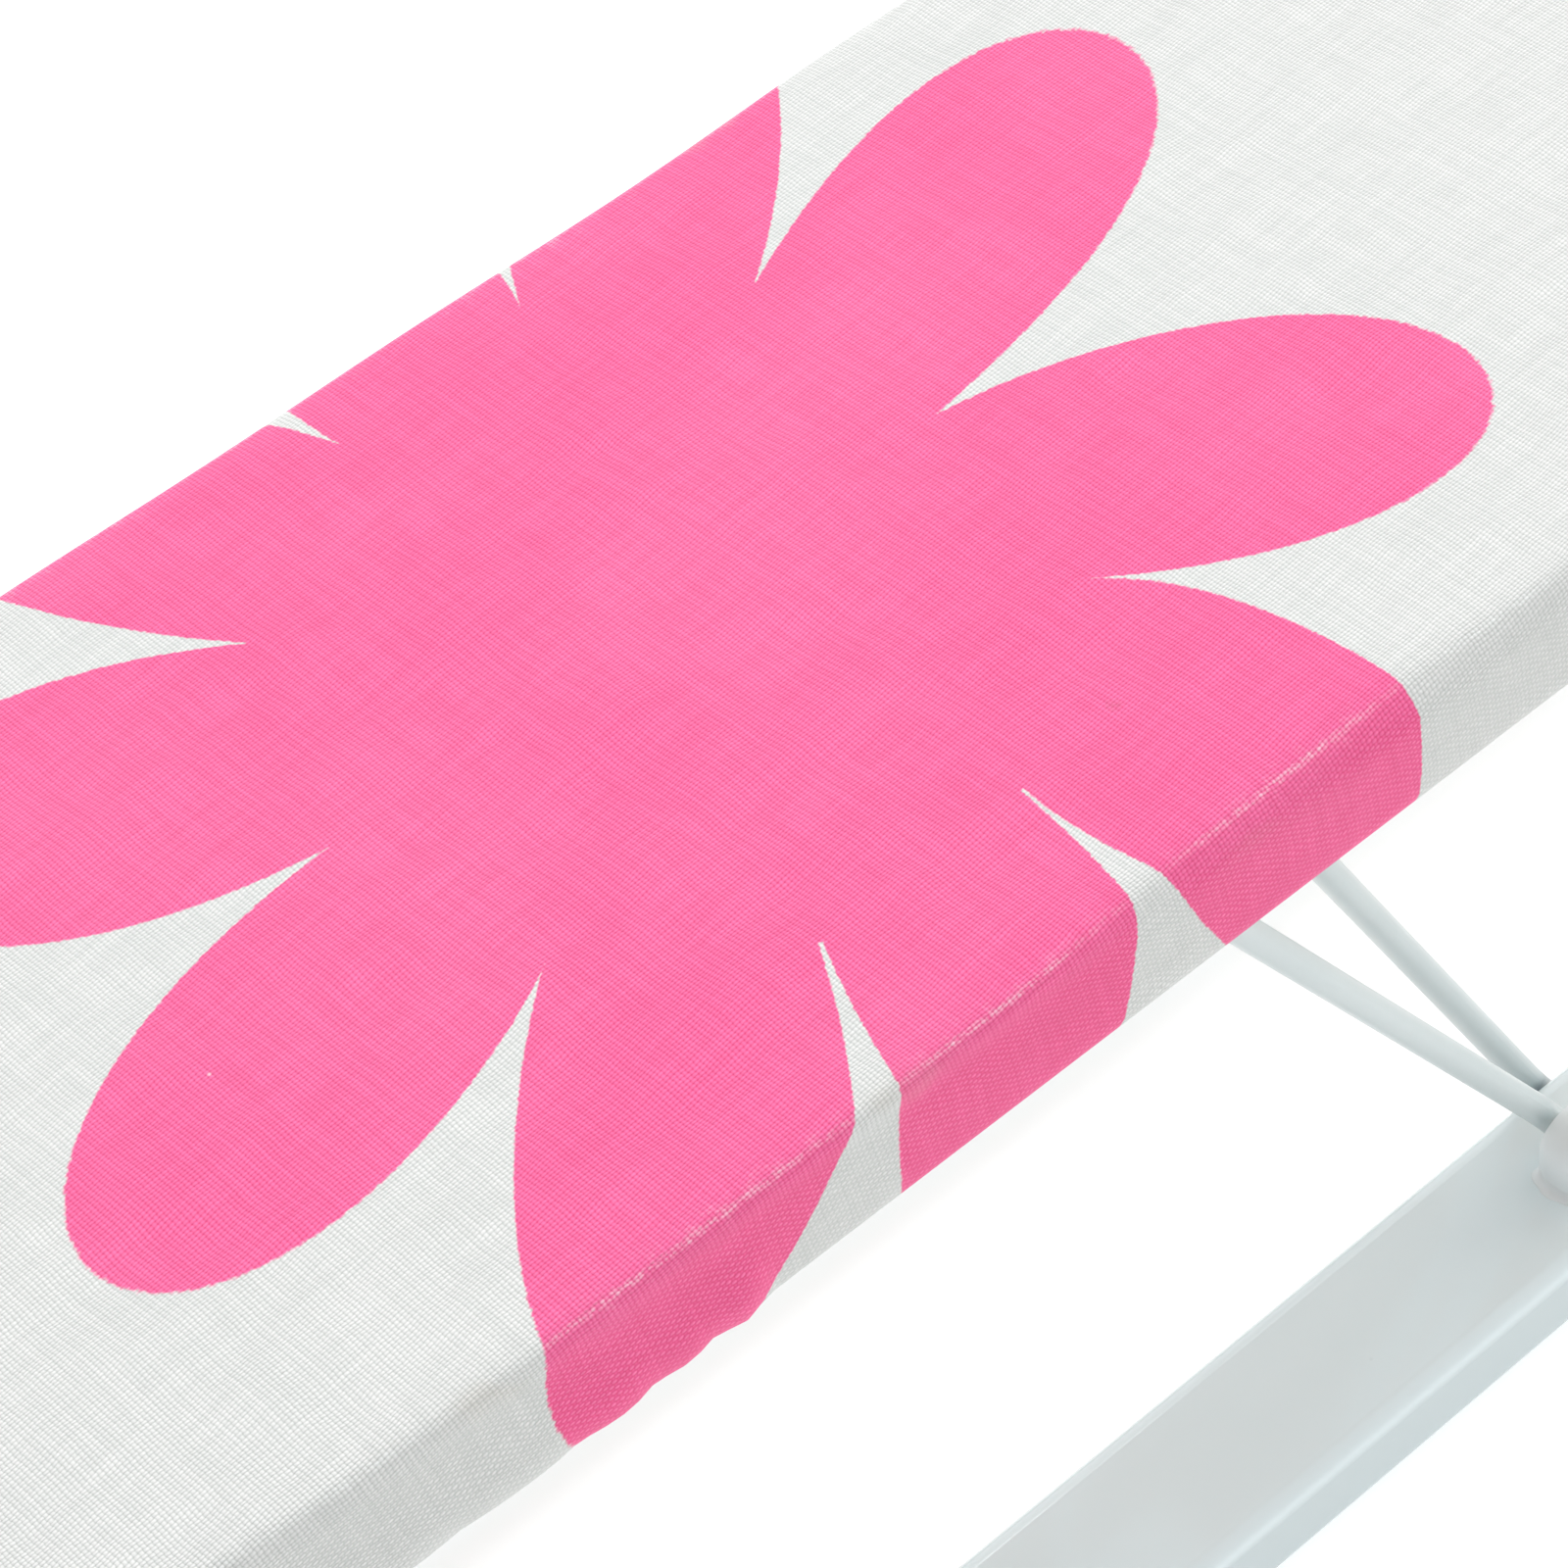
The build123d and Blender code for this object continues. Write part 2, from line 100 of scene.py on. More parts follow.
def closed_outline(count):
    """Return count points evenly spaced round the plan, with their outward normals."""
    half = half_outline()
    run = np.r_[0, np.cumsum(np.linalg.norm(np.diff(half, axis=0), axis=1))]
    steps = np.linspace(0, run[-1], count // 2 + 1)
    near = np.c_[np.interp(steps, run, half[:, 0]), np.interp(steps, run, half[:, 1])]
    far = near[-2:0:-1] * (1, -1)
    points = np.vstack([near, far])
    tangent = np.roll(points, -1, axis=0) - np.roll(points, 1, axis=0)
    tangent /= np.linalg.norm(tangent, axis=1)[:, None]
    normal = np.c_[-tangent[:, 1], tangent[:, 0]]
    return points, normal * np.sign((normal * points).sum(1).mean())


# ---- the cover's cross-section, outside face, from the crease over the side to the hem ----
CREASE_INSET = 1.9 * MM  # mean distance of the top crease from the outline
# How far inwards the near crease strays from its mean line, by place along the board (mm).
CREASE_WANDER = [
    (-260, 0), (-130, 0.4), (-88, -0.5), (-47, -0.9), (-30, -0.9),
    (-10, 0.5), (22, 1.2), (46, 0.3), (90, -0.3), (260, 0),
]
FAR_WANDER = ((0.35, 21, 1.3), (0.25, 9.5, 0))  # height, length and phase of the far crease's two waves (mm)
WANDER_FROM = 30  # the creases stray only this far from the board's middle line, in mm
WANDER_FADE = 20
WANDER_DEPTH = 4.5  # and down to here below the crease, in mm
SIDE_SECTION = [  # distance inwards from the crease's mean line, and height over the top, both in mm
    (0.0, -0.22), (-0.55, -0.58), (-0.98, -1.15), (-1.28, -1.95), (-1.5, -3.1), (-1.64, -4.6), (-1.74, -6.6),
    (-1.82, -9.0), (-1.88, -10.6), (-1.9, -12.0), (-1.82, -13.4), (-1.5, -14.8), (-0.85, -16.1),
    (0.2, -17.3), (1.6, -18.1), (3.4, -18.5), (5.5, -18.6), (7.6, -18.7), (9.6, -18.85), (10.6, -19.1),
    (11.1, -19.75), (11.45, -20.45), (12.2, -20.9), (13.3, -20.95), (14.3, -20.6), (14.95, -19.8),
    (15.0, -18.9), (14.4, -18.3), (13.2, -18.15), (12.0, -18.1), (10.9, -18.1),
]
TOP_RINGS = [12.0, 8.0, 5.0, 3.2, 2.1, 1.3, 0.6]  # distance inwards from the crease, in mm
TOP_FALL = [0.0, 0.0, 0.0, 0.0, 0.01, 0.05, 0.12]  # how far the top has curved down there
FLAT_FROM = 2.5  # the top faces straight up from here inwards, in mm
FAN_DEPTH = 45  # the cloth's depth falls by this much from the outermost ring to the board's middle line
FAN_SPACING = 2.0  # the rows on the flat top lie this many times further apart than those on the side
MEDIAL_END = 42 * MM  # the fan of rows over the nose and the heel starts this far from each end


def resample(section, spacing):
    """Space the points of a section evenly. Returns them and how far along the section each one lies."""
    section = np.array(section, float)
    run = np.r_[0, np.cumsum(np.linalg.norm(np.diff(section, axis=0), axis=1))]
    steps = np.linspace(0, run[-1], int(run[-1] / spacing))
    return np.c_[np.interp(steps, run, section[:, 0]), np.interp(steps, run, section[:, 1])], steps


def wander_at(x, y):
    """How far inwards the crease strays from its mean line beside a point of the outline."""
    knots = np.array(CREASE_WANDER, float)
    near = np.interp(x / MM, knots[:, 0], knots[:, 1])
    far = sum(height * np.sin(x / MM / length + phase) for height, length, phase in FAR_WANDER)
    side = smoothstep((np.abs(y) / MM - WANDER_FROM) / WANDER_FADE)
    return np.where(y < 0, near, far) * side * MM


def waves(run, lengths, seed):
    """Sum a few sines of irregular length (mm) along a closed run, as a value about -1 to 1."""
    draw = np.random.default_rng(seed)
    total = run[-1] + (run[1] - run[0])
    value = np.zeros_like(run)
    for length in lengths:
        turns = max(1, round(total / (length * MM)))
        value += np.sin(2 * math.pi * turns * run / total + draw.uniform(0, 2 * math.pi))
    return value / math.sqrt(len(lengths))


def medial_points(outline):
    """The point of the board's middle line that each point of the outline is joined to."""
    x = np.clip(outline[:, 0], MEDIAL_END - HALF_LENGTH, HALF_LENGTH - MEDIAL_END)
    return np.c_[x, np.zeros(len(outline))]


def cover_grid(count, spacing):
    """Lay out the cover as rows round the plan.

    Returns the rows' points, their outward directions and the cloth coordinates: where each point lay on the flat
    cloth (x, y) and how far it is below the crease, in mm.
    """
    outline, normal = closed_outline(count)
    run = np.arange(count) * np.linalg.norm(outline[1] - outline[0])
    crease = CREASE_INSET + wander_at(outline[:, 0], outline[:, 1])
    edge = outline - normal * crease[:, None]
    section, depth = resample(SIDE_SECTION, spacing)
    medial = medial_points(outline)
    inner = outline - normal * (CREASE_INSET + TOP_RINGS[0] * MM)
    rows, cloth = [], []
    half_width = np.linalg.norm(inner[count // 4] - medial[count // 4])
    steps = int(half_width / (spacing * FAN_SPACING * MM))
    for k in range(steps):
        plan = medial + (inner - medial) * (k / steps)
        rows.append(np.c_[plan, np.full(count, TOP)])
        cloth.append(np.c_[plan / MM, -(1 - k / steps) * FAN_DEPTH - TOP_RINGS[0] + np.zeros(count)])
    for ring, fall in zip(TOP_RINGS, TOP_FALL):
        plan = edge - normal * ring * MM
        rows.append(np.c_[plan, np.full(count, TOP - fall * MM)])
        cloth.append(np.c_[plan / MM, np.full(count, -ring)])
    # Below the crease the section's insets are measured from its mean line, so the wander fades down the side.
    for (out, drop), below in zip(section, depth):
        share = 1 - smoothstep(below / WANDER_DEPTH)
        plan = outline - normal * (CREASE_INSET + (crease - CREASE_INSET) * share + out * MM)[:, None]
        rows.append(np.c_[plan, np.full(count, TOP + drop * MM)])
        cloth.append(np.c_[edge / MM + normal * below, np.full(count, below)])
    rows = np.array(rows)
    cloth = np.array(cloth)
    down = np.gradient(rows, axis=0)
    along = np.roll(rows, -1, axis=1) - np.roll(rows, 1, axis=1)
    out = np.cross(along, down)
    out /= np.maximum(np.linalg.norm(out, axis=2), 1e-12)[..., None]
    flat = cloth[:, 0, 2] < -FLAT_FROM
    out[flat] = (0, 0, 1)
    upright = len(rows) - len(section) + len(section) // 6  # a row on the cover's side
    if out[upright, 0, 0] < 0:  # at the heel's middle, outwards is +X
        out[~flat] *= -1
    return rows, out, cloth, run


def add_mesh(name, vertices, faces):
    """Put a new mesh in the scene."""
    mesh = bpy.data.meshes.new(name)
    mesh.from_pydata(vertices, [], faces)
    thing = bpy.data.objects.new(name, mesh)
    bpy.context.scene.collection.objects.link(thing)
    return thing


def grid_object(name, rows, cloth):
    """Make a mesh from rows round the plan. The first row lies on the board's middle line and is sewn shut."""
    levels, count = rows.shape[:2]
    vertices = rows.reshape(-1, 3)
    faces = []
    for level in range(levels - 1):
        for i in range(count):
            j = (i + 1) % count
            faces.append((level * count + i, level * count + j, (level + 1) * count + j, (level + 1) * count + i))
    thing = add_mesh(name, [tuple(v) for v in vertices], faces)
    if cloth is not None:
        attribute = thing.data.attributes.new("cloth", "FLOAT_VECTOR", "POINT")
        attribute.data.foreach_set("vector", cloth.reshape(-1).astype(np.float32))
    return thing


SAME_POINT = 0.01 * MM


def finish_mesh(thing):
    """Sew up coinciding points, face everything outwards and shade it smooth."""
    mesh = thing.data
    work = bmesh.new()
    work.from_mesh(mesh)
    bmesh.ops.remove_doubles(work, verts=work.verts, dist=SAME_POINT)
    bmesh.ops.recalc_face_normals(work, faces=work.faces)
    work.to_mesh(mesh)
    work.free()
    mesh.polygons.foreach_set("use_smooth", [True] * len(mesh.polygons))
    mesh.update()


def apply_modifiers(thing):
    """Keep the evaluated mesh and drop the modifiers that made it."""
    graph = bpy.context.evaluated_depsgraph_get()
    made = bpy.data.meshes.new_from_object(thing.evaluated_get(graph))
    old = thing.data
    thing.modifiers.clear()
    thing.data = made
    made.name = old.name
    bpy.data.meshes.remove(old)


# ---- the cover, pulled tight by its elastic ----
COLUMNS = 640
SECTION_SPACING = 0.95  # between the rows down the side, in mm
SIM_FRAMES = 20
SIM_STEP = 2  # the simulated sheet has every second row and column
SIM_LIMIT = 0.9 * MM  # most that the simulated cloth may stand proud
PIN_FROM = 19  # the elastic holds the cloth from here down, in mm below the crease
PIN_FADE = 5
SETTLED_TOP = 0.25  # share of the simulated lift that is kept on the top
SETTLED_SIDE = 0.6  # and on the side
SETTLED_END = 12  # it fades out from here down, in mm below the crease
SETTLED_FADE = 8
CREASE_ROUND = 3  # the top ends this far inwards from the crease, in mm
PUCKERS = (13, 16.5, 19.5, 24, 29, 38)  # wave lengths of the puckers round the board, in mm
PUCKER_FLOOR = 0.55  # only the part of a pucker above this share of its height shows
PUCKER_GROUPS = (61, 97, 143)  # wave lengths of where the puckers are stronger and weaker, in mm
PUCKER_MEAN = 0.45
PUCKER_SWING = 0.4
PUCKER_LIMITS = (0.12, 1.1)
# Where the puckers grow or shrink: depth below the crease, over how many mm, and by how much. They start on the
# side, are strongest round the lower edge and are sewn flat at the hem.
PUCKER_STEPS = ((8, 8, 0.5), (17, 7, 0.75), (26, 2, -0.6))
LOOSE_X = -66  # the near side's puckers are stronger about here, in mm
LOOSE_WIDTH = 15
LOOSE_GAIN = 0.9
# Towards the nose the near side hangs a little looser, and one small tuck sticks out. A band is its start, its
# rise, its end and its fall, in mm: along the board, or below the crease.
SLACK = 0.7
SLACK_ALONG = (-190, 40, -74, 14)
SLACK_BELOW = (5, 9, 21, 4)
TUCK = 0.8
TUCK_X = -67
TUCK_WIDTH = 3
EDGE_CLEARANCE = 0.4  # how far the cloth keeps out at the core's rounded lower edge, in mm
EDGE_BELOW = (12.5, 3.5, 20.5, 3)
UNDER_FROM = 23  # below this depth the cloth may sink by UNDER_SINK, in mm
UNDER_SINK = 0.2
PAD_WAVE = 0.12 * MM  # the pad under the cover is a little uneven: height and lengths of its waves
PAD_WAVE_X = 17
PAD_WAVE_Y = 13


def relax_cloth(rows, out, below):
    """Let the tight cover settle by cloth simulation and return how far each point moves outwards."""
    coarse = rows[::SIM_STEP, ::SIM_STEP].copy()
    levels, count = coarse.shape[:2]
    sheet = grid_object("cover_draft", coarse, None)
    pins = sheet.vertex_groups.new(name="pins")
    depth = below[::SIM_STEP, ::SIM_STEP]
    for level in range(levels):
        weight = float(np.clip((depth[level].mean() - PIN_FROM) / PIN_FADE, 0, 1))
        if weight > 0:
            pins.add(list(range(level * count, (level + 1) * count)), weight, "REPLACE")
    cloth = sheet.modifiers.new("cloth", "CLOTH")
    # A light, stiff cotton, blown up a little from inside so that it settles smooth over the pad.
    cloth.settings.quality = 4
    cloth.settings.mass = 0.2
    cloth.settings.tension_stiffness = 25
    cloth.settings.compression_stiffness = 10
    cloth.settings.shear_stiffness = 8
    cloth.settings.bending_stiffness = 0.4
    cloth.settings.use_pressure = True
    cloth.settings.uniform_pressure_force = 4
    cloth.settings.vertex_group_mass = "pins"
    cloth.settings.effector_weights.gravity = 0
    cloth.point_cache.frame_start = 1
    cloth.point_cache.frame_end = SIM_FRAMES
    for moment in range(1, SIM_FRAMES + 1):
        bpy.context.scene.frame_set(moment)
    graph = bpy.context.evaluated_depsgraph_get()
    solved = sheet.evaluated_get(graph).to_mesh()
    points = np.zeros(len(solved.vertices) * 3)
    solved.vertices.foreach_get("co", points)
    bpy.data.objects.remove(sheet)
    bpy.context.scene.frame_set(1)
    lift = ((points.reshape(coarse.shape) - coarse) * out[::SIM_STEP, ::SIM_STEP]).sum(2)
    lift = SIM_LIMIT * np.tanh(np.maximum(lift, 0) / SIM_LIMIT)
    levels_at = np.arange(rows.shape[0]) / SIM_STEP
    columns_at = np.arange(rows.shape[1]) / SIM_STEP
    wide = np.array([np.interp(columns_at, np.arange(count + 1), np.r_[row, row[0]]) for row in lift])
    return np.array([np.interp(levels_at, np.arange(levels), column) for column in wide.T]).T


def gather(run, outline_x, near, below):
    """How far the cloth puckers outwards at each point: nothing on the top, more towards the elastic."""
    x = outline_x / MM
    folds = np.abs(waves(run, PUCKERS, seed=7)) - PUCKER_FLOOR
    strength = np.clip(PUCKER_MEAN + PUCKER_SWING * waves(run, PUCKER_GROUPS, seed=3), *PUCKER_LIMITS)
    strength += LOOSE_GAIN * np.exp(-(((x - LOOSE_X) / LOOSE_WIDTH) ** 2)) * near
    reach = sum(gain * smoothstep((below - start) / length) for start, length, gain in PUCKER_STEPS)
    slack = SLACK * band(x, *SLACK_ALONG) + TUCK * np.exp(-(((x - TUCK_X) / TUCK_WIDTH) ** 2))
    return (folds[None] * strength[None] * reach + (slack * near)[None] * band(below, *SLACK_BELOW)) * MM


rows, out, cloth, run = cover_grid(COLUMNS, SECTION_SPACING)
outline, _ = closed_outline(COLUMNS)
below = cloth[..., 2]
near_side = (outline[:, 1] < 0).astype(float)
lift = gather(run, outline[:, 0], near_side, below)
settled = relax_cloth(rows, out, below)
share = np.where(below < -CREASE_ROUND, SETTLED_TOP, SETTLED_SIDE)
lift += settled * share * (1 - smoothstep((below - SETTLED_END) / SETTLED_FADE))
uneven = PAD_WAVE * np.sin(cloth[..., 0] / PAD_WAVE_X + 1) * np.sin(cloth[..., 1] / PAD_WAVE_Y)
lift += uneven * (1 - smoothstep((below + 2) / 2))  # none of it on the side
# The cloth lies on the core and the pad: it may only stand away from them, and clears the core's lower edge.
least = np.where(below < UNDER_FROM, 0, -UNDER_SINK) + EDGE_CLEARANCE * band(below, *EDGE_BELOW)
lift = np.maximum(lift, least * MM)
rows = rows + out * lift[..., None]
cover = grid_object("cotton_cover", rows, cloth)
finish_mesh(cover)
top_face = cover.data.polygons[len(cover.data.polygons) // 4]
if top_face.normal.z < 0:
    cover.data.flip_normals()
shell = cover.modifiers.new("thickness", "SOLIDIFY")
shell.thickness = CLOTH
shell.offset = -1
apply_modifiers(cover)
cover.data.polygons.foreach_set("use_smooth", [True] * len(cover.data.polygons))


# ---- the pad and the elastic inside the cover ----
PAD_INSET = 2.5  # of the pad's edge from the cover's outline, in mm
PAD_FOLLOWS = 0.8  # share of the crease's straying that the pad's edge follows
PAD_LUMPS = 0.035 * MM
PAD_DENTS = 0.05 * MM
PAD_DENT_LENGTH = 6  # in mm
ELASTIC_INSET = 15 * MM
ELASTIC_RIDGE = 0.10  # how much wider every second step of the braid is
ELASTIC_SQUARE = 0.6  # 1 would make its section round, 0 square


def make_pad():
    """A thin felt pad with rounded edges, a soft crown and a lumpy surface."""
    outline, normal = closed_outline(COLUMNS)
    crease = wander_at(outline[:, 0], outline[:, 1])
    thick = (felt_high.z - felt_low.z) / MM
    # The section over the rounded edge, from the top inwards to the bottom: distance out and height, in mm.
    section = [(-14, 0.12), (-8, 0.08), (-4, 0), (-2, -0.12), (-1, -0.4), (-0.45, -1.0), (-0.2, -1.9), (-0.1, -2.9)]
    section += [(-0.2, 0.35 - thick), (-0.6, 0.1 - thick), (-1.4, 0 - thick), (-8, 0 - thick), (-14, 0 - thick)]
    medial = medial_points(outline)
    rows = []
    for out, height in section:
        inset = (PAD_INSET - out) * MM + crease * PAD_FOLLOWS
        rows.append(np.c_[outline - normal * inset[:, None], np.full(len(outline), felt_high.z + height * MM)])
    first, last = rows[0], rows[-1]
    fans = 8
    tops = [np.c_[medial + (first[:, :2] - medial) * k / fans, first[:, 2]] for k in range(fans)]
    bottoms = [np.c_[medial + (last[:, :2] - medial) * k / fans, last[:, 2]] for k in reversed(range(fans))]
    rows = np.array(tops + rows + bottoms)
    draw = np.random.default_rng(11)
    lumps = draw.normal(0, PAD_LUMPS, rows.shape[:2])
    on_top = fans + 2  # rows of the upper face
    lumps[:on_top] -= PAD_DENTS * np.abs(np.sin(rows[:on_top, :, 0] / MM / PAD_DENT_LENGTH))
    rows[..., 2] += lumps
    pad = grid_object("pad", rows, None)
    finish_mesh(pad)
    return pad


def make_elastic():
    """Flat braided elastic in the hem channel: ribbed lengthways, with small braid ridges across."""
    outline, normal = closed_outline(COLUMNS * 2)
    width = 0.95 * MM
    depth = 0.52 * MM
    middle = (elastic_high.z + elastic_low.z) / 2
    rows = []
    around = 12
    ridge = 1 + ELASTIC_RIDGE * (np.arange(len(outline)) % 2)
    for k in range(around + 1):
        turn = 2 * math.pi * (k % around) / around
        across = width * np.sign(math.cos(turn)) * abs(math.cos(turn)) ** ELASTIC_SQUARE
        up = depth * np.sign(math.sin(turn)) * abs(math.sin(turn)) ** ELASTIC_SQUARE
        plan = outline - normal * (ELASTIC_INSET - across * ridge)[:, None]
        rows.append(np.c_[plan, middle + up * ridge])
    band = grid_object("elastic", np.array(rows), None)
    finish_mesh(band)
    return band


SEAM_DROP = 19.3 * MM  # height of the seam below the board's top
SEAM_PROUD = 0.02 * MM
STITCH_PITCH = 2.9 * MM
STITCH_START = 0.25 * MM  # gap before a stitch, and after it
STITCH_STOP = 0.35 * MM
STITCH_ARCH = 0.16 * MM
STITCH_SUNK = 0.7  # share of the arch that lies below the cloth
STITCH_END = 0.45  # the thread's thickness at a stitch's ends, as a share
THREAD_RADIUS = 0.17 * MM


def make_stitches():
    """A line of lock stitches that holds the hem's fold, each one a short sunken thread."""
    level = int(np.argmin(np.abs(rows[:, COLUMNS // 4, 2] - (TOP - SEAM_DROP)) + (below[:, 0] < 20)))
    line = rows[level] + out[level] * SEAM_PROUD
    seam = np.vstack([line, line[:1]])
    length = np.r_[0, np.cumsum(np.linalg.norm(np.diff(seam, axis=0), axis=1))]
    count = int(length[-1] / STITCH_PITCH)
    pitch = length[-1] / count
    rings, sides = 6, 6
    vertices, faces = [], []
    for i in range(count):
        stations = np.linspace(i * pitch + STITCH_START, (i + 1) * pitch - STITCH_STOP, rings)
        spine = np.c_[[np.interp(stations, length, seam[:, k]) for k in range(3)]].T
        lift_dir = np.c_[[np.interp(stations, length[:-1], out[level][:, k]) for k in range(3)]].T
        arch = np.sin(np.linspace(0, math.pi, rings))
        spine = spine + lift_dir * ((arch - STITCH_SUNK) * STITCH_ARCH)[:, None]
        ahead = np.gradient(spine, axis=0)
        ahead /= np.linalg.norm(ahead, axis=1)[:, None]
        side = np.cross(ahead, lift_dir)
        base = len(vertices)
        for k in range(rings):
            radius = THREAD_RADIUS * (STITCH_END if k in (0, rings - 1) else 1)
            for m in range(sides):
                angle = m * 2 * math.pi / sides
                offset = side[k] * radius * math.cos(angle) + lift_dir[k] * radius * math.sin(angle)
                vertices.append(spine[k] + offset)
        for k in range(rings - 1):
            ring = base + k * sides
            for m in range(sides):
                n = (m + 1) % sides
                faces.append((ring + m, ring + n, ring + sides + n, ring + sides + m))
        faces.append(tuple(base + m for m in range(sides)))
        faces.append(tuple(base + (rings - 1) * sides + m for m in reversed(range(sides))))
    stitches = add_mesh("hem_stitches", [tuple(v) for v in vertices], faces)
    finish_mesh(stitches)
    return stitches


BEAD = 1.2 * MM
BEAD_LUMPS = ((5, 0.10), (11, 0.07), (23, 0.04))  # ripples round a bead and how strong they are
RAIL_CORNER = 2.6 * MM  # radius of the rails' top corners
RAIL_CROWN = 0.3 * MM  # fall of the rails' top face towards its sides


def make_lug_welds():
    """The painted-over weld beads where the four domed lugs stand on the rails' crowned tops."""
    around = 72
    vertices, faces = [], []
    # The bead's section: distance out from the lug and height over the rail, as shares of the bead.
    hollow = [(1.0 - math.sin(a), 1.0 - math.cos(a)) for a in np.linspace(0, math.pi / 2, 8)]
    profile = [(0.9, -0.15)] + hollow + [(-0.3, 1.0), (-0.35, -0.15)]
    draw = np.random.default_rng(23)
    for lug in ("front_near_lug", "front_far_lug", "rear_near_lug", "rear_far_lug"):
        low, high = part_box(lug)
        rail_low, rail_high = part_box("near_rail" if "near" in lug else "far_rail")
        side = 1 if low.y > 0 else -1
        radius = (high.x - low.x) / 2
        outer_y, face_y = (high.y, low.y) if side > 0 else (low.y, high.y)
        centre_x, centre_y = (low.x + high.x) / 2, outer_y - side * radius
        rail_y, rail_half = (rail_low.y + rail_high.y) / 2, (rail_high.y - rail_low.y) / 2
        phases = draw.uniform(0, 2 * math.pi, len(BEAD_LUMPS))
        base = len(vertices)
        for i in range(around):
            turn = 2 * math.pi * i / around
            inwards = -side * math.sin(turn)
            reach = min(radius, abs(centre_y - face_y) / inwards) if inwards > 0 else radius
            lump = 1
            for (ripples, strength), phase in zip(BEAD_LUMPS, phases):
                lump += strength * math.sin(ripples * turn + phase)
            for step_out, step_up in profile:
                away = reach + step_out * BEAD * lump
                x, y = centre_x + away * math.cos(turn), centre_y + away * math.sin(turn)
                past_flat = min(max(abs(y - rail_y) - (rail_half - RAIL_CORNER), 0.0), RAIL_CORNER * 0.99)
                rounding = RAIL_CORNER - math.sqrt(RAIL_CORNER**2 - past_flat**2)
                crown = rail_high.z - RAIL_CROWN * ((y - rail_y) / rail_half) ** 2 - rounding
                vertices.append((x, y, crown + step_up * BEAD * (lump if step_up > 0 else 1)))
        size = len(profile)
        for i in range(around):
            j = (i + 1) % around
            for k in range(size):
                n = (k + 1) % size
                faces.append((base + i * size + k, base + j * size + k, base + j * size + n, base + i * size + n))
    welds = add_mesh("lug_welds", vertices, faces)
    finish_mesh(welds)
    return welds


pad = make_pad()
elastic = make_elastic()
welds = make_lug_welds()
stitches = make_stitches()


# ---- materials ----
class Shader:
    """A node material while it is being built. Sockets and plain values mix freely in every call."""

    def __init__(self, name, **surface):
        self.material = bpy.data.materials.new(name)
        self.material.use_nodes = True
        self.tree = self.material.node_tree
        self.tree.nodes.clear()
        self.surface = self.node("ShaderNodeBsdfPrincipled")
        self.tree.links.new(self.surface.outputs[0], self.node("ShaderNodeOutputMaterial").inputs[0])
        for socket, value in surface.items():
            self.put(self.surface.inputs[socket.replace("_", " ")], value)

    def node(self, kind, **settings):
        made = self.tree.nodes.new(kind)
        for key, value in settings.items():
            setattr(made, key, value)
        return made

    def put(self, socket, value):
        if isinstance(value, bpy.types.NodeSocket):
            self.tree.links.new(value, socket)
        else:
            socket.default_value = value

    def set(self, socket, value):
        self.put(self.surface.inputs[socket], value)

    def math(self, operation, *values):
        made = self.node("ShaderNodeMath", operation=operation)
        for socket, value in zip(made.inputs, values):
            self.put(socket, value)
        return made.outputs[0]

    def mix(self, share, a, b):
        made = self.node("ShaderNodeMix", data_type="RGBA")
        for index, value in ((0, share), (6, a), (7, b)):
            self.put(made.inputs[index], value)
        return made.outputs[2]

    def remap(self, value, low, high, to_low=0.0, to_high=1.0):
        made = self.node("ShaderNodeMapRange", interpolation_type="SMOOTHSTEP")
        for socket, number in zip(made.inputs, (value, low, high, to_low, to_high)):
            self.put(socket, number)
        return made.outputs[0]

    def place(self, vector, location=(0, 0, 0), rotation=(0, 0, 0), scale=(1, 1, 1), kind="POINT"):
        made = self.node("ShaderNodeMapping", vector_type=kind)
        for socket, value in zip(made.inputs, (vector, location, rotation, scale)):
            self.put(socket, value)
        return made.outputs[0]

    def object_mm(self):
        """The point on the piece, in mm."""
        return self.place(self.node("ShaderNodeTexCoord").outputs["Object"], scale=(1000, 1000, 1000))

    def split(self, vector):
        """The x, y and z of a vector."""
        made = self.node("ShaderNodeSeparateXYZ")
        self.put(made.inputs[0], vector)
        return made.outputs

    def noise(self, vector, scale, detail=2.0, roughness=0.5):
        made = self.node("ShaderNodeTexNoise")
        for socket, value in (("Vector", vector), ("Scale", scale), ("Detail", detail), ("Roughness", roughness)):
            self.put(made.inputs[socket], value)
        return made.outputs[0]

    def spots(self, vector, scale, radius, share, seed=0.0):
        """Scattered round spots: 1 inside a spot, 0 outside. Only this share of the cells has one."""
        moved = self.place(vector, location=(seed, seed * 0.7, seed * 1.3))
        cells = self.node("ShaderNodeTexVoronoi")
        self.put(cells.inputs["Vector"], moved)
        self.put(cells.inputs["Scale"], scale)
        red = self.node("ShaderNodeSeparateColor")
        self.put(red.inputs[0], cells.outputs["Color"])
        spot = self.remap(cells.outputs["Distance"], radius * scale, radius * scale * 0.5)
        return self.math("MULTIPLY", spot, self.math("LESS_THAN", red.outputs[0], share))

    def bump(self, height, distance):
        made = self.node("ShaderNodeBump")
        self.put(made.inputs["Distance"], distance)
        self.put(made.inputs["Height"], height)
        return made.outputs[0]


def rgb(red, green, blue):
    """A display colour, 0 to 255, as the linear colour that a shader takes."""
    linear = [((c / 255 + 0.055) / 1.055) ** 2.4 if c > 10 else c / 255 / 12.92 for c in (red, green, blue)]
    return (*linear, 1.0)


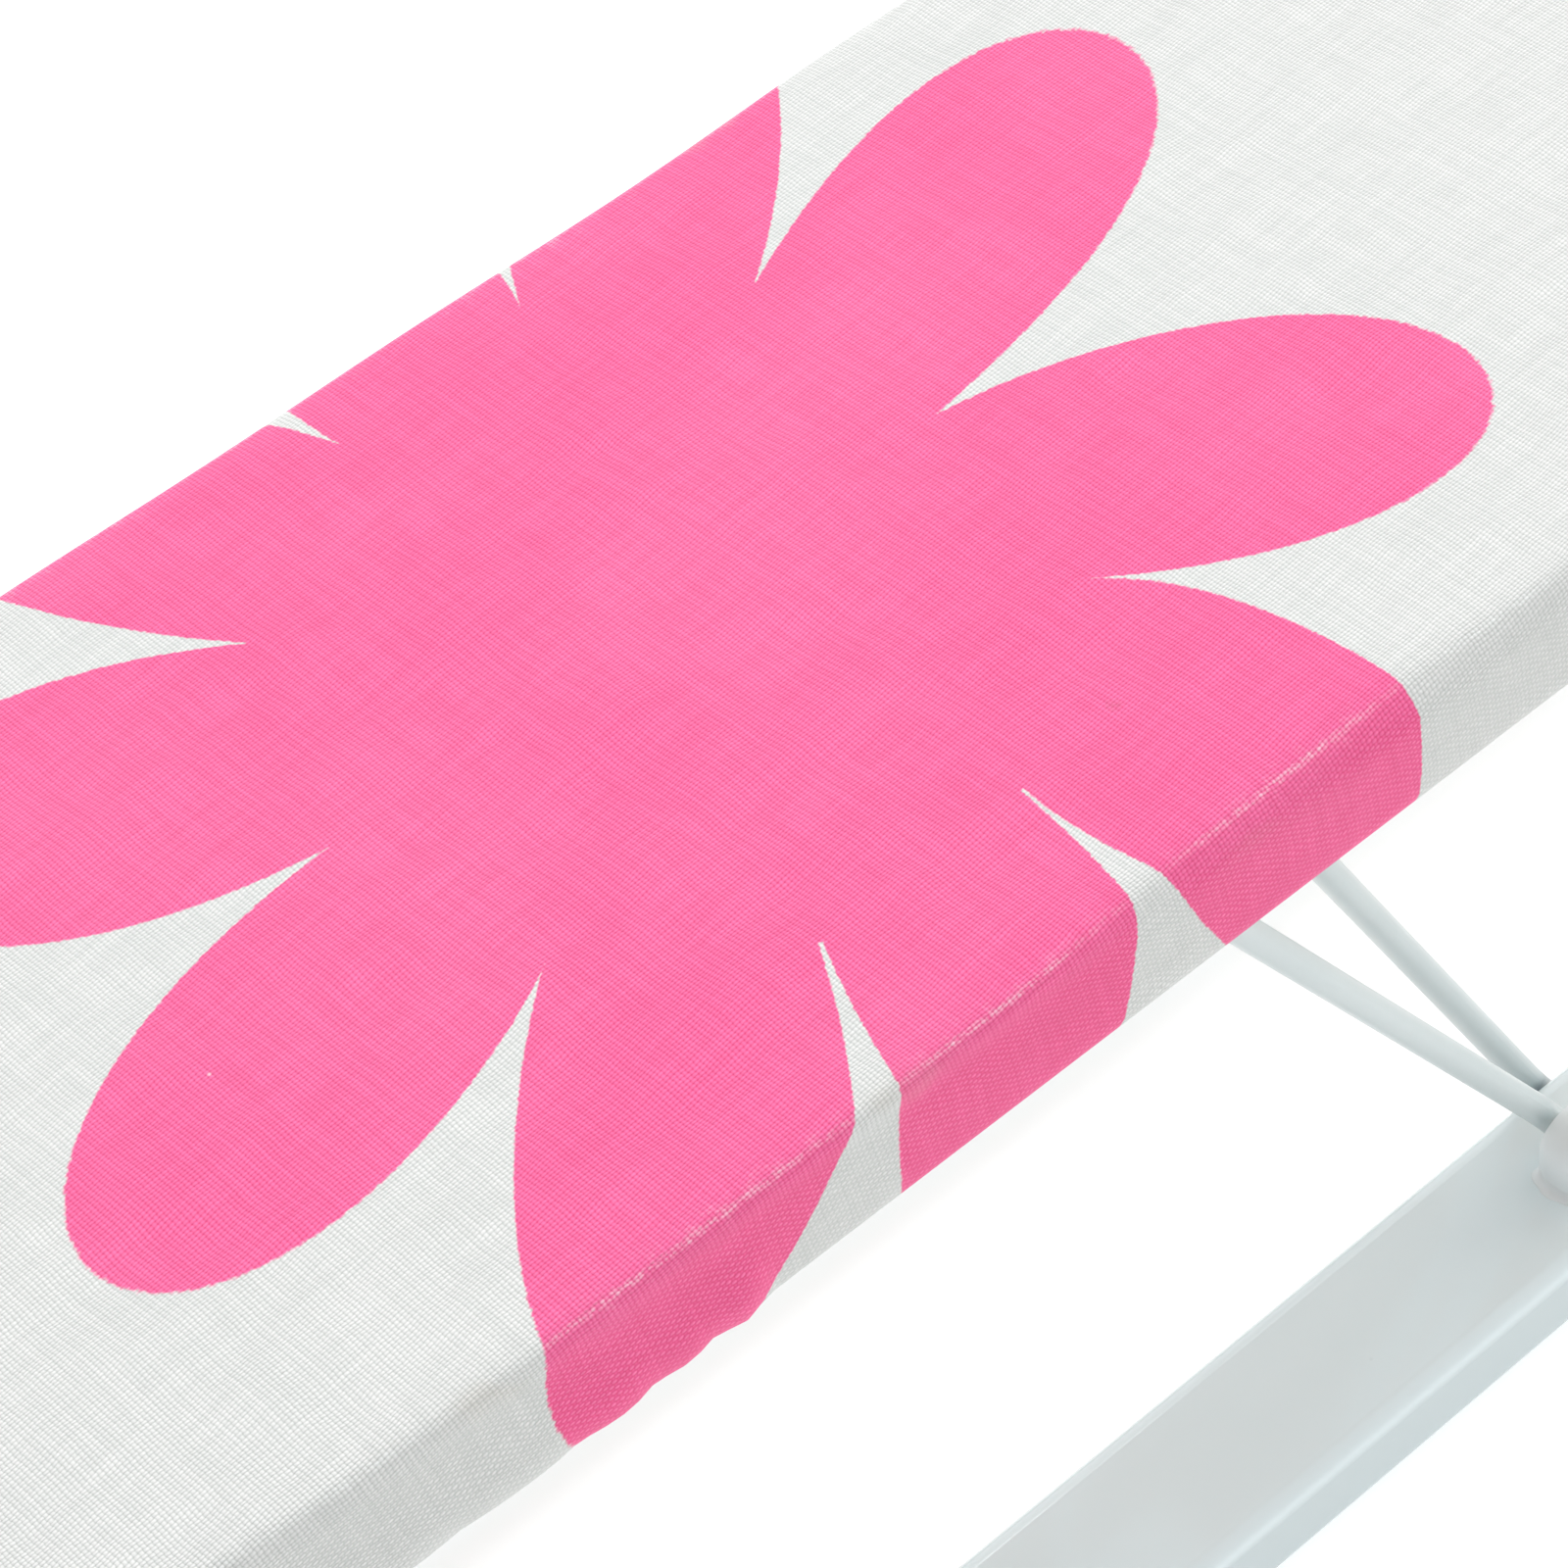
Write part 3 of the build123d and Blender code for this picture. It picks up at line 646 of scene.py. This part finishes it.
# ---- the printed cotton ----
THREAD_ALONG = 0.40  # distance between the threads that run along the board, in mm
THREAD_ACROSS = 0.54
GRAIN_TURN = math.radians(4.9)  # the cloth lies a little askew on the board
FLOWER_CENTRE = (-24.0, 4.6)
# Each petal: direction, distance to its middle, half length, half width, turn from the radius, flare (mm, degrees).
PETALS = [
    (20.1, 48.7, 48.6, 15.3, -2.0, 0.41),
    (52.7, 64.0, 41.0, 15.6, -2.8, 0.22),
    (84.3, 62.3, 33.9, 15.1, -2.2, -0.02),
    (120.2, 54.4, 41.0, 15.7, -0.5, 0.09),
    (159.7, 51.0, 34.8, 17.1, -4.7, 0.25),
    (198.4, 56.4, 36.5, 16.1, -3.0, 0.17),
    (232.9, 60.3, 41.0, 15.6, -1.3, 0.22),
    (264.3, 58.1, 41.0, 14.4, -7.8, 0.22),
    (295.8, 66.7, 35.8, 16.4, -14.5, -0.22),
    (337.8, 54.9, 35.3, 16.8, -7.0, 0.14),
]
NOTCHES = [  # direction and distance of each point between two petals, counter-clockwise
    (0.5, 38.6), (38.1, 48.6), (68.8, 49.7), (101.3, 44.8), (140.0, 43.1),
    (180.9, 43.1), (216.9, 46.2), (250.1, 47.7), (282.5, 45.6), (319.6, 44.4),
]
FLOWER_STEP = (232.0, 8.0)  # from one printed flower to the next along the board
NARROWEST = 0.2  # a tapered petal keeps at least this share of its width


def petal_distance(shader, at):
    """Distance outside the printed flowers, about in mm, negative inside."""
    parts = shader.split(at)
    past = shader.math("SUBTRACT", parts[0], FLOWER_CENTRE[0])
    repeat = shader.math("ROUND", shader.math("DIVIDE", past, FLOWER_STEP[0]))
    one = shader.node("ShaderNodeCombineXYZ")
    for axis in (0, 1):
        here = shader.math("SUBTRACT", parts[axis], FLOWER_CENTRE[axis])
        shader.put(one.inputs[axis], shader.math("SUBTRACT", here, shader.math("MULTIPLY", repeat, FLOWER_STEP[axis])))
    one.inputs[2].default_value = 1.0
    nearest = None
    for direction, away, length, width, turn, flare in PETALS:
        direction, turn = math.radians(direction), math.radians(turn)
        centre = (away * math.cos(direction), away * math.sin(direction), 0)
        # Across and along the petal the outline is a unit circle here, before its taper.
        local = shader.split(
            shader.place(one.outputs[0], centre, (0, 0, direction + turn), (length, width, 1), "TEXTURE")
        )
        widening = shader.math("MAXIMUM", shader.math("MULTIPLY_ADD", local[0], flare, 1.0), NARROWEST)
        flat = shader.math("DIVIDE", local[1], widening)
        squares = shader.math("ADD", shader.math("MULTIPLY", local[0], local[0]), shader.math("MULTIPLY", flat, flat))
        size = shader.math("SQRT", squares)
        outside = shader.math("MULTIPLY", shader.math("SUBTRACT", size, 1.0), width)
        nearest = outside if nearest is None else shader.math("MINIMUM", nearest, outside)
    # The middle of the flower is the polygon whose corners are the notches.
    corners = [(reach * math.cos(math.radians(turn)), reach * math.sin(math.radians(turn))) for turn, reach in NOTCHES]
    middle = None
    for (x, y), (next_x, next_y) in zip(corners, corners[1:] + corners[:1]):
        length = math.hypot(next_x - x, next_y - y)
        normal = ((next_y - y) / length, (x - next_x) / length)
        side = shader.node("ShaderNodeVectorMath", operation="DOT_PRODUCT")
        shader.put(side.inputs[0], one.outputs[0])
        side.inputs[1].default_value = (*normal, -normal[0] * x - normal[1] * y)
        middle = side.outputs["Value"] if middle is None else shader.math("MAXIMUM", middle, side.outputs["Value"])
    return shader.math("MINIMUM", nearest, middle)


def cotton_material():
    """Plain-weave cotton with the printed flowers, uneven yarn, and wear along the crease."""
    s = Shader("cover_cotton", Roughness=0.85, Sheen_Weight=0.18, Sheen_Roughness=0.45)
    s.set("Specular IOR Level", 0.25)
    place = s.node("ShaderNodeAttribute", attribute_name="cloth").outputs["Vector"]
    depth = s.split(place)[2]  # below the crease, in mm
    # Threads wander a little, so the weave's grid is bent before it is used.
    long_bend = s.noise(place, 0.07, 2)
    short_bend = s.noise(place, 0.45, 1)
    long_sway = s.math("MULTIPLY", s.math("SUBTRACT", long_bend, 0.5), 2.2)
    short_sway = s.math("MULTIPLY", s.math("SUBTRACT", short_bend, 0.5), 0.16)
    sway = s.math("ADD", long_sway, short_sway)
    grain = s.split(s.place(place, rotation=(0, 0, -GRAIN_TURN)))
    # a and b count the threads passed along the board and across it.
    a = s.math("DIVIDE", s.math("ADD", grain[0], s.math("MULTIPLY", sway, 0.6)), THREAD_ACROSS)
    b = s.math("DIVIDE", s.math("ADD", grain[1], sway), THREAD_ALONG)
    sin_a = s.math("SINE", s.math("MULTIPLY", a, math.pi))
    sin_b = s.math("SINE", s.math("MULTIPLY", b, math.pi))
    lift_along = s.math("MULTIPLY_ADD", s.math("MULTIPLY", sin_a, s.math("SIGN", sin_b)), 0.5, 0.5)
    lift_across = s.math("MULTIPLY_ADD", s.math("MULTIPLY", sin_b, s.math("SIGN", sin_a)), -0.5, 0.5)
    along = s.math("MULTIPLY", s.math("POWER", s.math("ABSOLUTE", sin_b), 0.6), lift_along)
    across = s.math("MULTIPLY", s.math("POWER", s.math("ABSOLUTE", sin_a), 0.6), lift_across)
    # On the sides the long threads are stretched proud of the cross threads.
    across_share = s.remap(depth, 0.0, 5.0, 0.82, 0.42)
    weave = s.math("MAXIMUM", along, s.math("MULTIPLY", across, across_share))
    # Uneven yarn: each thread has its own thickness along its length.
    along_yarn = s.node("ShaderNodeCombineXYZ")
    s.put(along_yarn.inputs[0], s.math("MULTIPLY", a, 0.05))
    s.put(along_yarn.inputs[1], b)
    slub_along = s.noise(along_yarn.outputs[0], 0.8, 1)
    across_yarn = s.node("ShaderNodeCombineXYZ")
    s.put(across_yarn.inputs[0], a)
    s.put(across_yarn.inputs[1], s.math("MULTIPLY", b, 0.05))
    slub_across = s.noise(across_yarn.outputs[0], 0.8, 1)
    slub = s.math("ADD", slub_along, slub_across)
    fuzz = s.noise(place, 5.0, 3, 0.6)
    # The print, its edge broken up by the threads.
    ragged = s.math("MULTIPLY", s.math("SUBTRACT", s.noise(place, 1.6, 2), 0.5), 0.5)
    outside = petal_distance(s, place)
    ink = s.remap(s.math("ADD", outside, ragged), 0.12, -0.12)
    # Plain cloth and ink, with painted shade between the threads: darker where the weave lies low.
    shade = s.remap(weave, 0.0, 0.7)
    white = s.mix(shade, rgb(194, 196, 192), rgb(232, 231, 229))
    pink = s.mix(shade, rgb(230, 58, 118), rgb(254, 116, 170))
    cloud = s.noise(place, 0.03, 3)
    pale_pink = s.mix(shade, rgb(238, 74, 132), rgb(255, 128, 178))
    pink = s.mix(s.remap(cloud, 0.3, 0.75, 0.0, 0.6), pink, pale_pink)
    base = s.mix(ink, white, pink)
    thick_yarn = s.mix(ink, rgb(176, 182, 178), rgb(214, 40, 98))
    base = s.mix(s.remap(slub, 0.75, 1.25, 0.0, 0.16), base, thick_yarn)
    # Wear along the crease: the ink has rubbed off the raised threads.
    on_line = s.remap(s.math("ABSOLUTE", s.math("SUBTRACT", depth, 0.25)), 0.62, 0.05)
    worn_line = s.math("MULTIPLY", on_line, s.remap(s.noise(place, 1.3, 3, 0.7), 0.38, 0.6))
    on_band = s.remap(s.math("ABSOLUTE", depth), 2.4, 0.0)
    worn_band = s.math("MULTIPLY", on_band, s.remap(s.noise(place, 0.5, 3, 0.7), 0.48, 0.72))
    stretch = s.remap(s.noise(place, 0.035, 2), 0.38, 0.6, 0.35, 1.0)  # some lengths of the crease are more worn
    worn = s.math("ADD", s.math("MULTIPLY", worn_line, 0.8), s.math("MULTIPLY", worn_band, 0.35))
    worn = s.math("MULTIPLY", worn, s.remap(weave, 0.15, 0.8))
    worn = s.math("MULTIPLY", worn, stretch)
    base = s.mix(s.math("MINIMUM", worn, 0.85), base, s.mix(ink, rgb(240, 241, 239), rgb(255, 206, 222)))
    # Lint, pills, and faint marks from use.
    flat_place = s.place(place, scale=(1, 1, 0))
    lint = s.spots(flat_place, 0.075, 0.42, 0.5, 3.0)
    base = s.mix(s.math("MULTIPLY", lint, 0.75), base, rgb(250, 240, 243))
    dirt = s.math("MULTIPLY", s.spots(flat_place, 0.03, 1.1, 0.3, 9.0), s.remap(fuzz, 0.4, 0.6))
    base = s.mix(s.math("MULTIPLY", dirt, 0.35), base, rgb(176, 96, 110))
    near_crease = s.remap(s.math("ABSOLUTE", s.math("SUBTRACT", depth, 1.5)), 4.0, 0.0)
    crease_marks = s.math("MULTIPLY", near_crease, s.remap(s.noise(place, 0.055, 3), 0.58, 0.75))
    base = s.mix(s.math("MULTIPLY", crease_marks, 0.22), base, rgb(196, 178, 150))
    s.set("Base Color", base)
    s.set("Roughness", s.remap(weave, 0.0, 1.0, 0.95, 0.78))
    height = s.math("ADD", s.math("MULTIPLY", weave, 0.9), s.math("MULTIPLY", fuzz, 0.25))
    height = s.math("ADD", height, s.math("MULTIPLY", slub, 0.25))
    s.set("Normal", s.bump(height, 0.14 * MM))
    return s.material


# ---- the other finishes ----
def painted_material(name, colour, roughness, peel, peel_size, coat=0.0, painted_shade_below=None):
    """Stove-enamelled or powder-coated steel: an uneven skin, small nibs, and a little handling wear.

    peel is the depth of the skin's unevenness and peel_size its spread in mm. The last argument is the pair of heights
    (mm) between which the colour turns greyer down the walls, painted shade below the top face.
    """
    s = Shader(name, Coat_Weight=coat, Coat_Roughness=0.06)
    at = s.object_mm()
    skin = s.noise(at, 1 / peel_size, 2)
    tint = s.noise(at, 0.035, 3)
    nibs = s.spots(at, 0.16, 0.32, 0.35, 5.0)
    scuffs = s.remap(s.noise(s.place(at, scale=(0.25, 1.3, 1.3)), 0.9, 4, 0.7), 0.66, 0.8)
    r, g, b = colour
    base = s.mix(tint, rgb(r, g, b), rgb(r - 7, g - 5, b - 5))
    base = s.mix(s.math("MULTIPLY", scuffs, 0.12), base, rgb(r - 60, g - 58, b - 58))
    base = s.mix(s.math("MULTIPLY", nibs, 0.2), base, rgb(r - 30, g - 28, b - 28))
    if painted_shade_below:
        # Painted shade: the colour turns greyer down the walls below the top face, as they lie in shade.
        base = s.mix(s.remap(s.split(at)[2], *painted_shade_below), base, rgb(r - 42, g - 40, b - 40))
    s.set("Base Color", base)
    gloss = s.remap(tint, 0.3, 0.7, roughness * 0.85, roughness * 1.15)
    s.set("Roughness", s.math("ADD", gloss, s.math("MULTIPLY", scuffs, 0.2)))
    height = s.math("ADD", skin, s.math("MULTIPLY", nibs, 0.8))
    s.set("Normal", s.bump(height, peel))
    return s.material


def plastic_material(name, colour, roughness=0.38):
    """Moulded plastic with a fine spark-eroded grain and a few rubbed patches."""
    s = Shader(name)
    at = s.object_mm()
    grain = s.noise(at, 3.2, 3, 0.6)
    cloud = s.noise(at, 0.05, 2)
    rub = s.remap(s.noise(at, 0.16, 4, 0.65), 0.6, 0.78)
    r, g, b = colour
    base = s.mix(cloud, rgb(r, g, b), rgb(r - 8, g - 7, b - 6))
    s.set("Base Color", s.mix(s.math("MULTIPLY", rub, 0.18), base, rgb(r - 45, g - 45, b - 44)))
    s.set("Roughness", s.remap(rub, 0, 1, roughness, roughness * 0.7))
    s.set("Normal", s.bump(grain, 0.035 * MM))
    return s.material


def rubber_material():
    """Dark moulded rubber with a matt grain and a film of dust."""
    s = Shader("foot_rubber")
    at = s.object_mm()
    grain = s.noise(at, 1.8, 4, 0.65)
    dust = s.remap(s.noise(at, 0.35, 4, 0.6), 0.5, 0.72)
    base = s.mix(grain, rgb(70, 72, 74), rgb(88, 90, 91))
    s.set("Base Color", s.mix(s.math("MULTIPLY", dust, 0.4), base, rgb(140, 138, 132)))
    s.set("Roughness", s.remap(grain, 0.2, 0.8, 0.7, 0.9))
    s.set("Normal", s.bump(grain, 0.06 * MM))
    return s.material


def steel_material(name, colour, roughness, lines):
    """Zinc-plated steel with rolling or turning marks and a spangled tint. lines stretches the marks along an axis."""
    s = Shader(name, Metallic=1.0)
    at = s.object_mm()
    marks = s.noise(s.place(at, scale=lines), 1.5, 3, 0.6)
    spangle = s.noise(at, 0.5, 3, 0.7)
    stain = s.remap(s.noise(at, 0.22, 4, 0.6), 0.58, 0.75)
    r, g, b = colour
    base = s.mix(spangle, rgb(r, g, b), rgb(r - 28, g - 26, b - 20))
    s.set("Base Color", s.mix(s.math("MULTIPLY", stain, 0.35), base, rgb(r - 70, g - 74, b - 80)))
    s.set("Roughness", s.remap(marks, 0.25, 0.75, roughness * 0.75, roughness * 1.3))
    s.set("Normal", s.bump(marks, 0.02 * MM))
    return s.material


SCREEN_MESH = 1.6  # of the print on the hardboard's back, in mm
ELASTIC_RIB = 0.9  # from one rib of the elastic to the next, in mm


def fibreboard_material():
    """Brown hardboard: pressed fibres of all directions, with the screen's mesh print of its back."""
    s = Shader("fibreboard")
    at = s.object_mm()
    long_fibres = s.noise(s.place(at, scale=(0.35, 2.2, 2.2), rotation=(0, 0, 0.5)), 0.8, 5, 0.65)
    cross_fibres = s.noise(s.place(at, scale=(2.0, 0.4, 2.0), rotation=(0, 0, 0.3)), 0.8, 5, 0.65)
    flecks = s.spots(s.place(at, scale=(0.4, 1, 1)), 0.3, 0.7, 0.4, 2.0)
    parts = s.split(at)
    mesh_x, mesh_y = [
        s.math("ABSOLUTE", s.math("SINE", s.math("MULTIPLY", parts[axis], math.pi / SCREEN_MESH))) for axis in (0, 1)
    ]
    screen = s.math("MULTIPLY", mesh_x, mesh_y)
    fibres = s.math("MULTIPLY", s.math("ADD", long_fibres, cross_fibres), 0.5)
    base = s.mix(s.remap(fibres, 0.3, 0.7), rgb(116, 84, 56), rgb(164, 126, 88))
    base = s.mix(s.math("MULTIPLY", flecks, 0.5), base, rgb(84, 58, 38))
    s.set("Base Color", base)
    s.set("Roughness", s.remap(fibres, 0.2, 0.8, 0.65, 0.85))
    s.set("Normal", s.bump(s.math("ADD", fibres, s.math("MULTIPLY", screen, 0.5)), 0.16 * MM))
    return s.material


def felt_material():
    """Off-white needled felt with a few darker recycled fibres."""
    s = Shader("pad_felt", Sheen_Weight=0.4, Roughness=0.95)
    at = s.object_mm()
    fibres = s.noise(s.place(at, scale=(1, 2.4, 2.4), rotation=(0, 0, 0.7)), 1.1, 6, 0.7)
    shreds = s.spots(s.place(at, scale=(0.5, 1, 1)), 0.22, 1.0, 0.6, 4.0)
    base = s.mix(s.remap(fibres, 0.3, 0.7), rgb(196, 194, 186), rgb(226, 225, 219))
    s.set("Base Color", s.mix(s.math("MULTIPLY", shreds, 0.4), base, rgb(140, 146, 160)))
    s.set("Normal", s.bump(fibres, 0.3 * MM))
    return s.material


def elastic_material():
    """White braided elastic with slanting ribs."""
    s = Shader("hem_elastic", Roughness=0.8, Sheen_Weight=0.2)
    at = s.object_mm()
    parts = s.split(at)
    slanting = s.math("ADD", parts[0], parts[1])
    ribs = s.math("ABSOLUTE", s.math("SINE", s.math("MULTIPLY", slanting, math.pi / ELASTIC_RIB)))
    fuzz = s.noise(at, 3.0, 3)
    # Painted shade: the colour is darker in the grooves between the ribs, and varies with the fuzz.
    s.set("Base Color", s.mix(s.math("MULTIPLY", ribs, fuzz), rgb(206, 206, 200), rgb(240, 240, 236)))
    s.set("Normal", s.bump(ribs, 0.12 * MM))
    return s.material


def thread_material():
    """Twisted white sewing thread."""
    s = Shader("stitch_thread", Roughness=0.6, Sheen_Weight=0.3)
    at = s.object_mm()
    twist = s.noise(s.place(at, rotation=(0, 0, 0.6)), 4.0, 3)
    s.set("Base Color", s.mix(twist, rgb(226, 228, 226), rgb(247, 248, 246)))
    s.set("Normal", s.bump(twist, 0.05 * MM))
    return s.material


# ---- each piece's finish and body ----
# The rails' walls are painted greyer below the top face: painted shade.
RAIL_PAINT = {"coat": 0.5, "painted_shade_below": (15.4, 13.6)}
FINISHES = {
    "rail_paint": painted_material("rail_paint", (238, 249, 251), 0.16, 0.012 * MM, 5.0, **RAIL_PAINT),
    "wire_paint": painted_material("wire_paint", (210, 218, 218), 0.34, 0.03 * MM, 1.4),
    "lug_paint": painted_material("lug_paint", (244, 250, 251), 0.3, 0.05 * MM, 2.2),
    "bow_plastic": plastic_material("bow_plastic", (230, 233, 231)),
    # The bushes' dark blue-grey is partly their plastic and partly painted shade where the stay's rod meets the rail.
    "bush_plastic": plastic_material("bush_plastic", (150, 164, 178), 0.45),
    "catch_plastic": plastic_material("catch_plastic", (214, 217, 215), 0.42),
    "foot_rubber": rubber_material(),
    "screw_steel": steel_material("screw_steel", (196, 198, 200), 0.3, (3, 3, 0.4)),
    "clip_steel": steel_material("clip_steel", (188, 191, 194), 0.36, (0.3, 4, 4)),
    "fibreboard": fibreboard_material(),
}
for part in frame["record"]["subparts"]:
    finish = FINISHES.get(part["material_slot"])
    if finish:
        for slot in frame["nodes"][part["node"]].material_slots:
            slot.material = finish

for piece, material, slot_name, node in (
    (cover, cotton_material(), "cover_cotton", "cover"),
    (pad, felt_material(), "pad_felt", "felt_pad"),
    (elastic, elastic_material(), "elastic", "hem_elastic"),
    (stitches, thread_material(), "cover_cotton", None),
):
    piece.data.materials.clear()
    piece.data.materials.append(material)
    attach(piece, "board")
    if node:
        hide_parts(node)

welds.data.materials.append(FINISHES["lug_paint"])
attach(welds, "base")


# ---- floor, light and camera ----
FLOOR_REACH = 6.0  # half the floor's width, in m
FLOOR_GLOW = 0.5
LIGHTS = (  # name, place, the point it faces, size (m) and power (W)
    ("softbox_top", (0.25, 0.45, 1.25), (0, 0, 0.15), (1.0, 1.0), 5.6),
    ("softbox_heel", (1.25, -0.15, 0.42), (0.05, 0, 0.1), (0.7, 0.5), 4.0),
    ("strip", (0.50, 0.70, 1.02), (0.02, -0.04, 0.02), (1.3, 0.07), 1.0),
)
WORLD_COLOUR = (0.97, 0.99, 1.0, 1)
WORLD_BRIGHT_SIDE = (0.75, 0.6, 0.28)  # the room is brighter on the heel's far side
WORLD_STRENGTH = (0.3, 1.3)  # on the dark side and on the bright side


def make_floor():
    reach = FLOOR_REACH
    corners = [(-reach, -reach, 0), (reach, -reach, 0), (reach, reach, 0), (-reach, reach, 0)]
    floor = add_mesh("floor", corners, [(0, 1, 2, 3)])
    glow = {"Emission_Color": (1, 1, 1, 1), "Emission_Strength": FLOOR_GLOW}
    s = Shader("floor", Roughness=0.9, Base_Color=rgb(232, 233, 233), **glow)
    s.set("Specular IOR Level", 0.0)
    floor.data.materials.append(s.material)


def make_light(name, place, target, size, power):
    data = bpy.data.lights.new(name, "AREA")
    data.shape = "RECTANGLE"
    data.size, data.size_y = size
    data.energy = power
    lamp = bpy.data.objects.new(name, data)
    lamp.location = place
    lamp.rotation_euler = (Vector(target) - Vector(place)).to_track_quat("-Z", "Y").to_euler()
    bpy.context.scene.collection.objects.link(lamp)


def make_world():
    """A plain bright room whose strength changes evenly from one side to the other."""
    world = bpy.data.worlds.new("studio")
    bpy.context.scene.world = world
    world.use_nodes = True
    tree = world.node_tree
    studio = tree.nodes["Background"]
    studio.inputs["Color"].default_value = WORLD_COLOUR
    direction = tree.nodes.new("ShaderNodeTexCoord")
    facing = tree.nodes.new("ShaderNodeVectorMath")
    facing.operation = "DOT_PRODUCT"
    facing.inputs[1].default_value = WORLD_BRIGHT_SIDE
    ramp = tree.nodes.new("ShaderNodeMapRange")
    for socket, number in zip(list(ramp.inputs)[1:5], (-1.0, 1.0, *WORLD_STRENGTH)):
        socket.default_value = number
    tree.links.new(direction.outputs["Generated"], facing.inputs[0])
    tree.links.new(facing.outputs["Value"], ramp.inputs[0])
    tree.links.new(ramp.outputs[0], studio.inputs["Strength"])


make_floor()
for lamp in LIGHTS:
    make_light(*lamp)
make_world()
bpy.context.scene.view_settings.view_transform = "Standard"

LENS = 101.8  # focal length and sensor width in mm
SENSOR = 36
CAMERA_PLACE = Vector((-184.48, -261.83, 493.25)) * MM
CAMERA_AHEAD = Vector((0.3535, 0.5479, -0.758)).normalized()
CAMERA_RIGHT = Vector((0.7576, -0.6425, -0.112))
camera_data = bpy.data.cameras.new("camera")
camera_data.sensor_width = SENSOR
camera_data.lens = LENS
camera_data.clip_start = 0.01
camera = bpy.data.objects.new("camera", camera_data)
right = (CAMERA_RIGHT - CAMERA_AHEAD * CAMERA_RIGHT.dot(CAMERA_AHEAD)).normalized()
up = right.cross(CAMERA_AHEAD)
camera.matrix_world = Matrix.Translation(CAMERA_PLACE) @ Matrix((right, up, -CAMERA_AHEAD)).transposed().to_4x4()
bpy.context.scene.collection.objects.link(camera)
bpy.context.scene.camera = camera


bpy.context.view_layer.update()
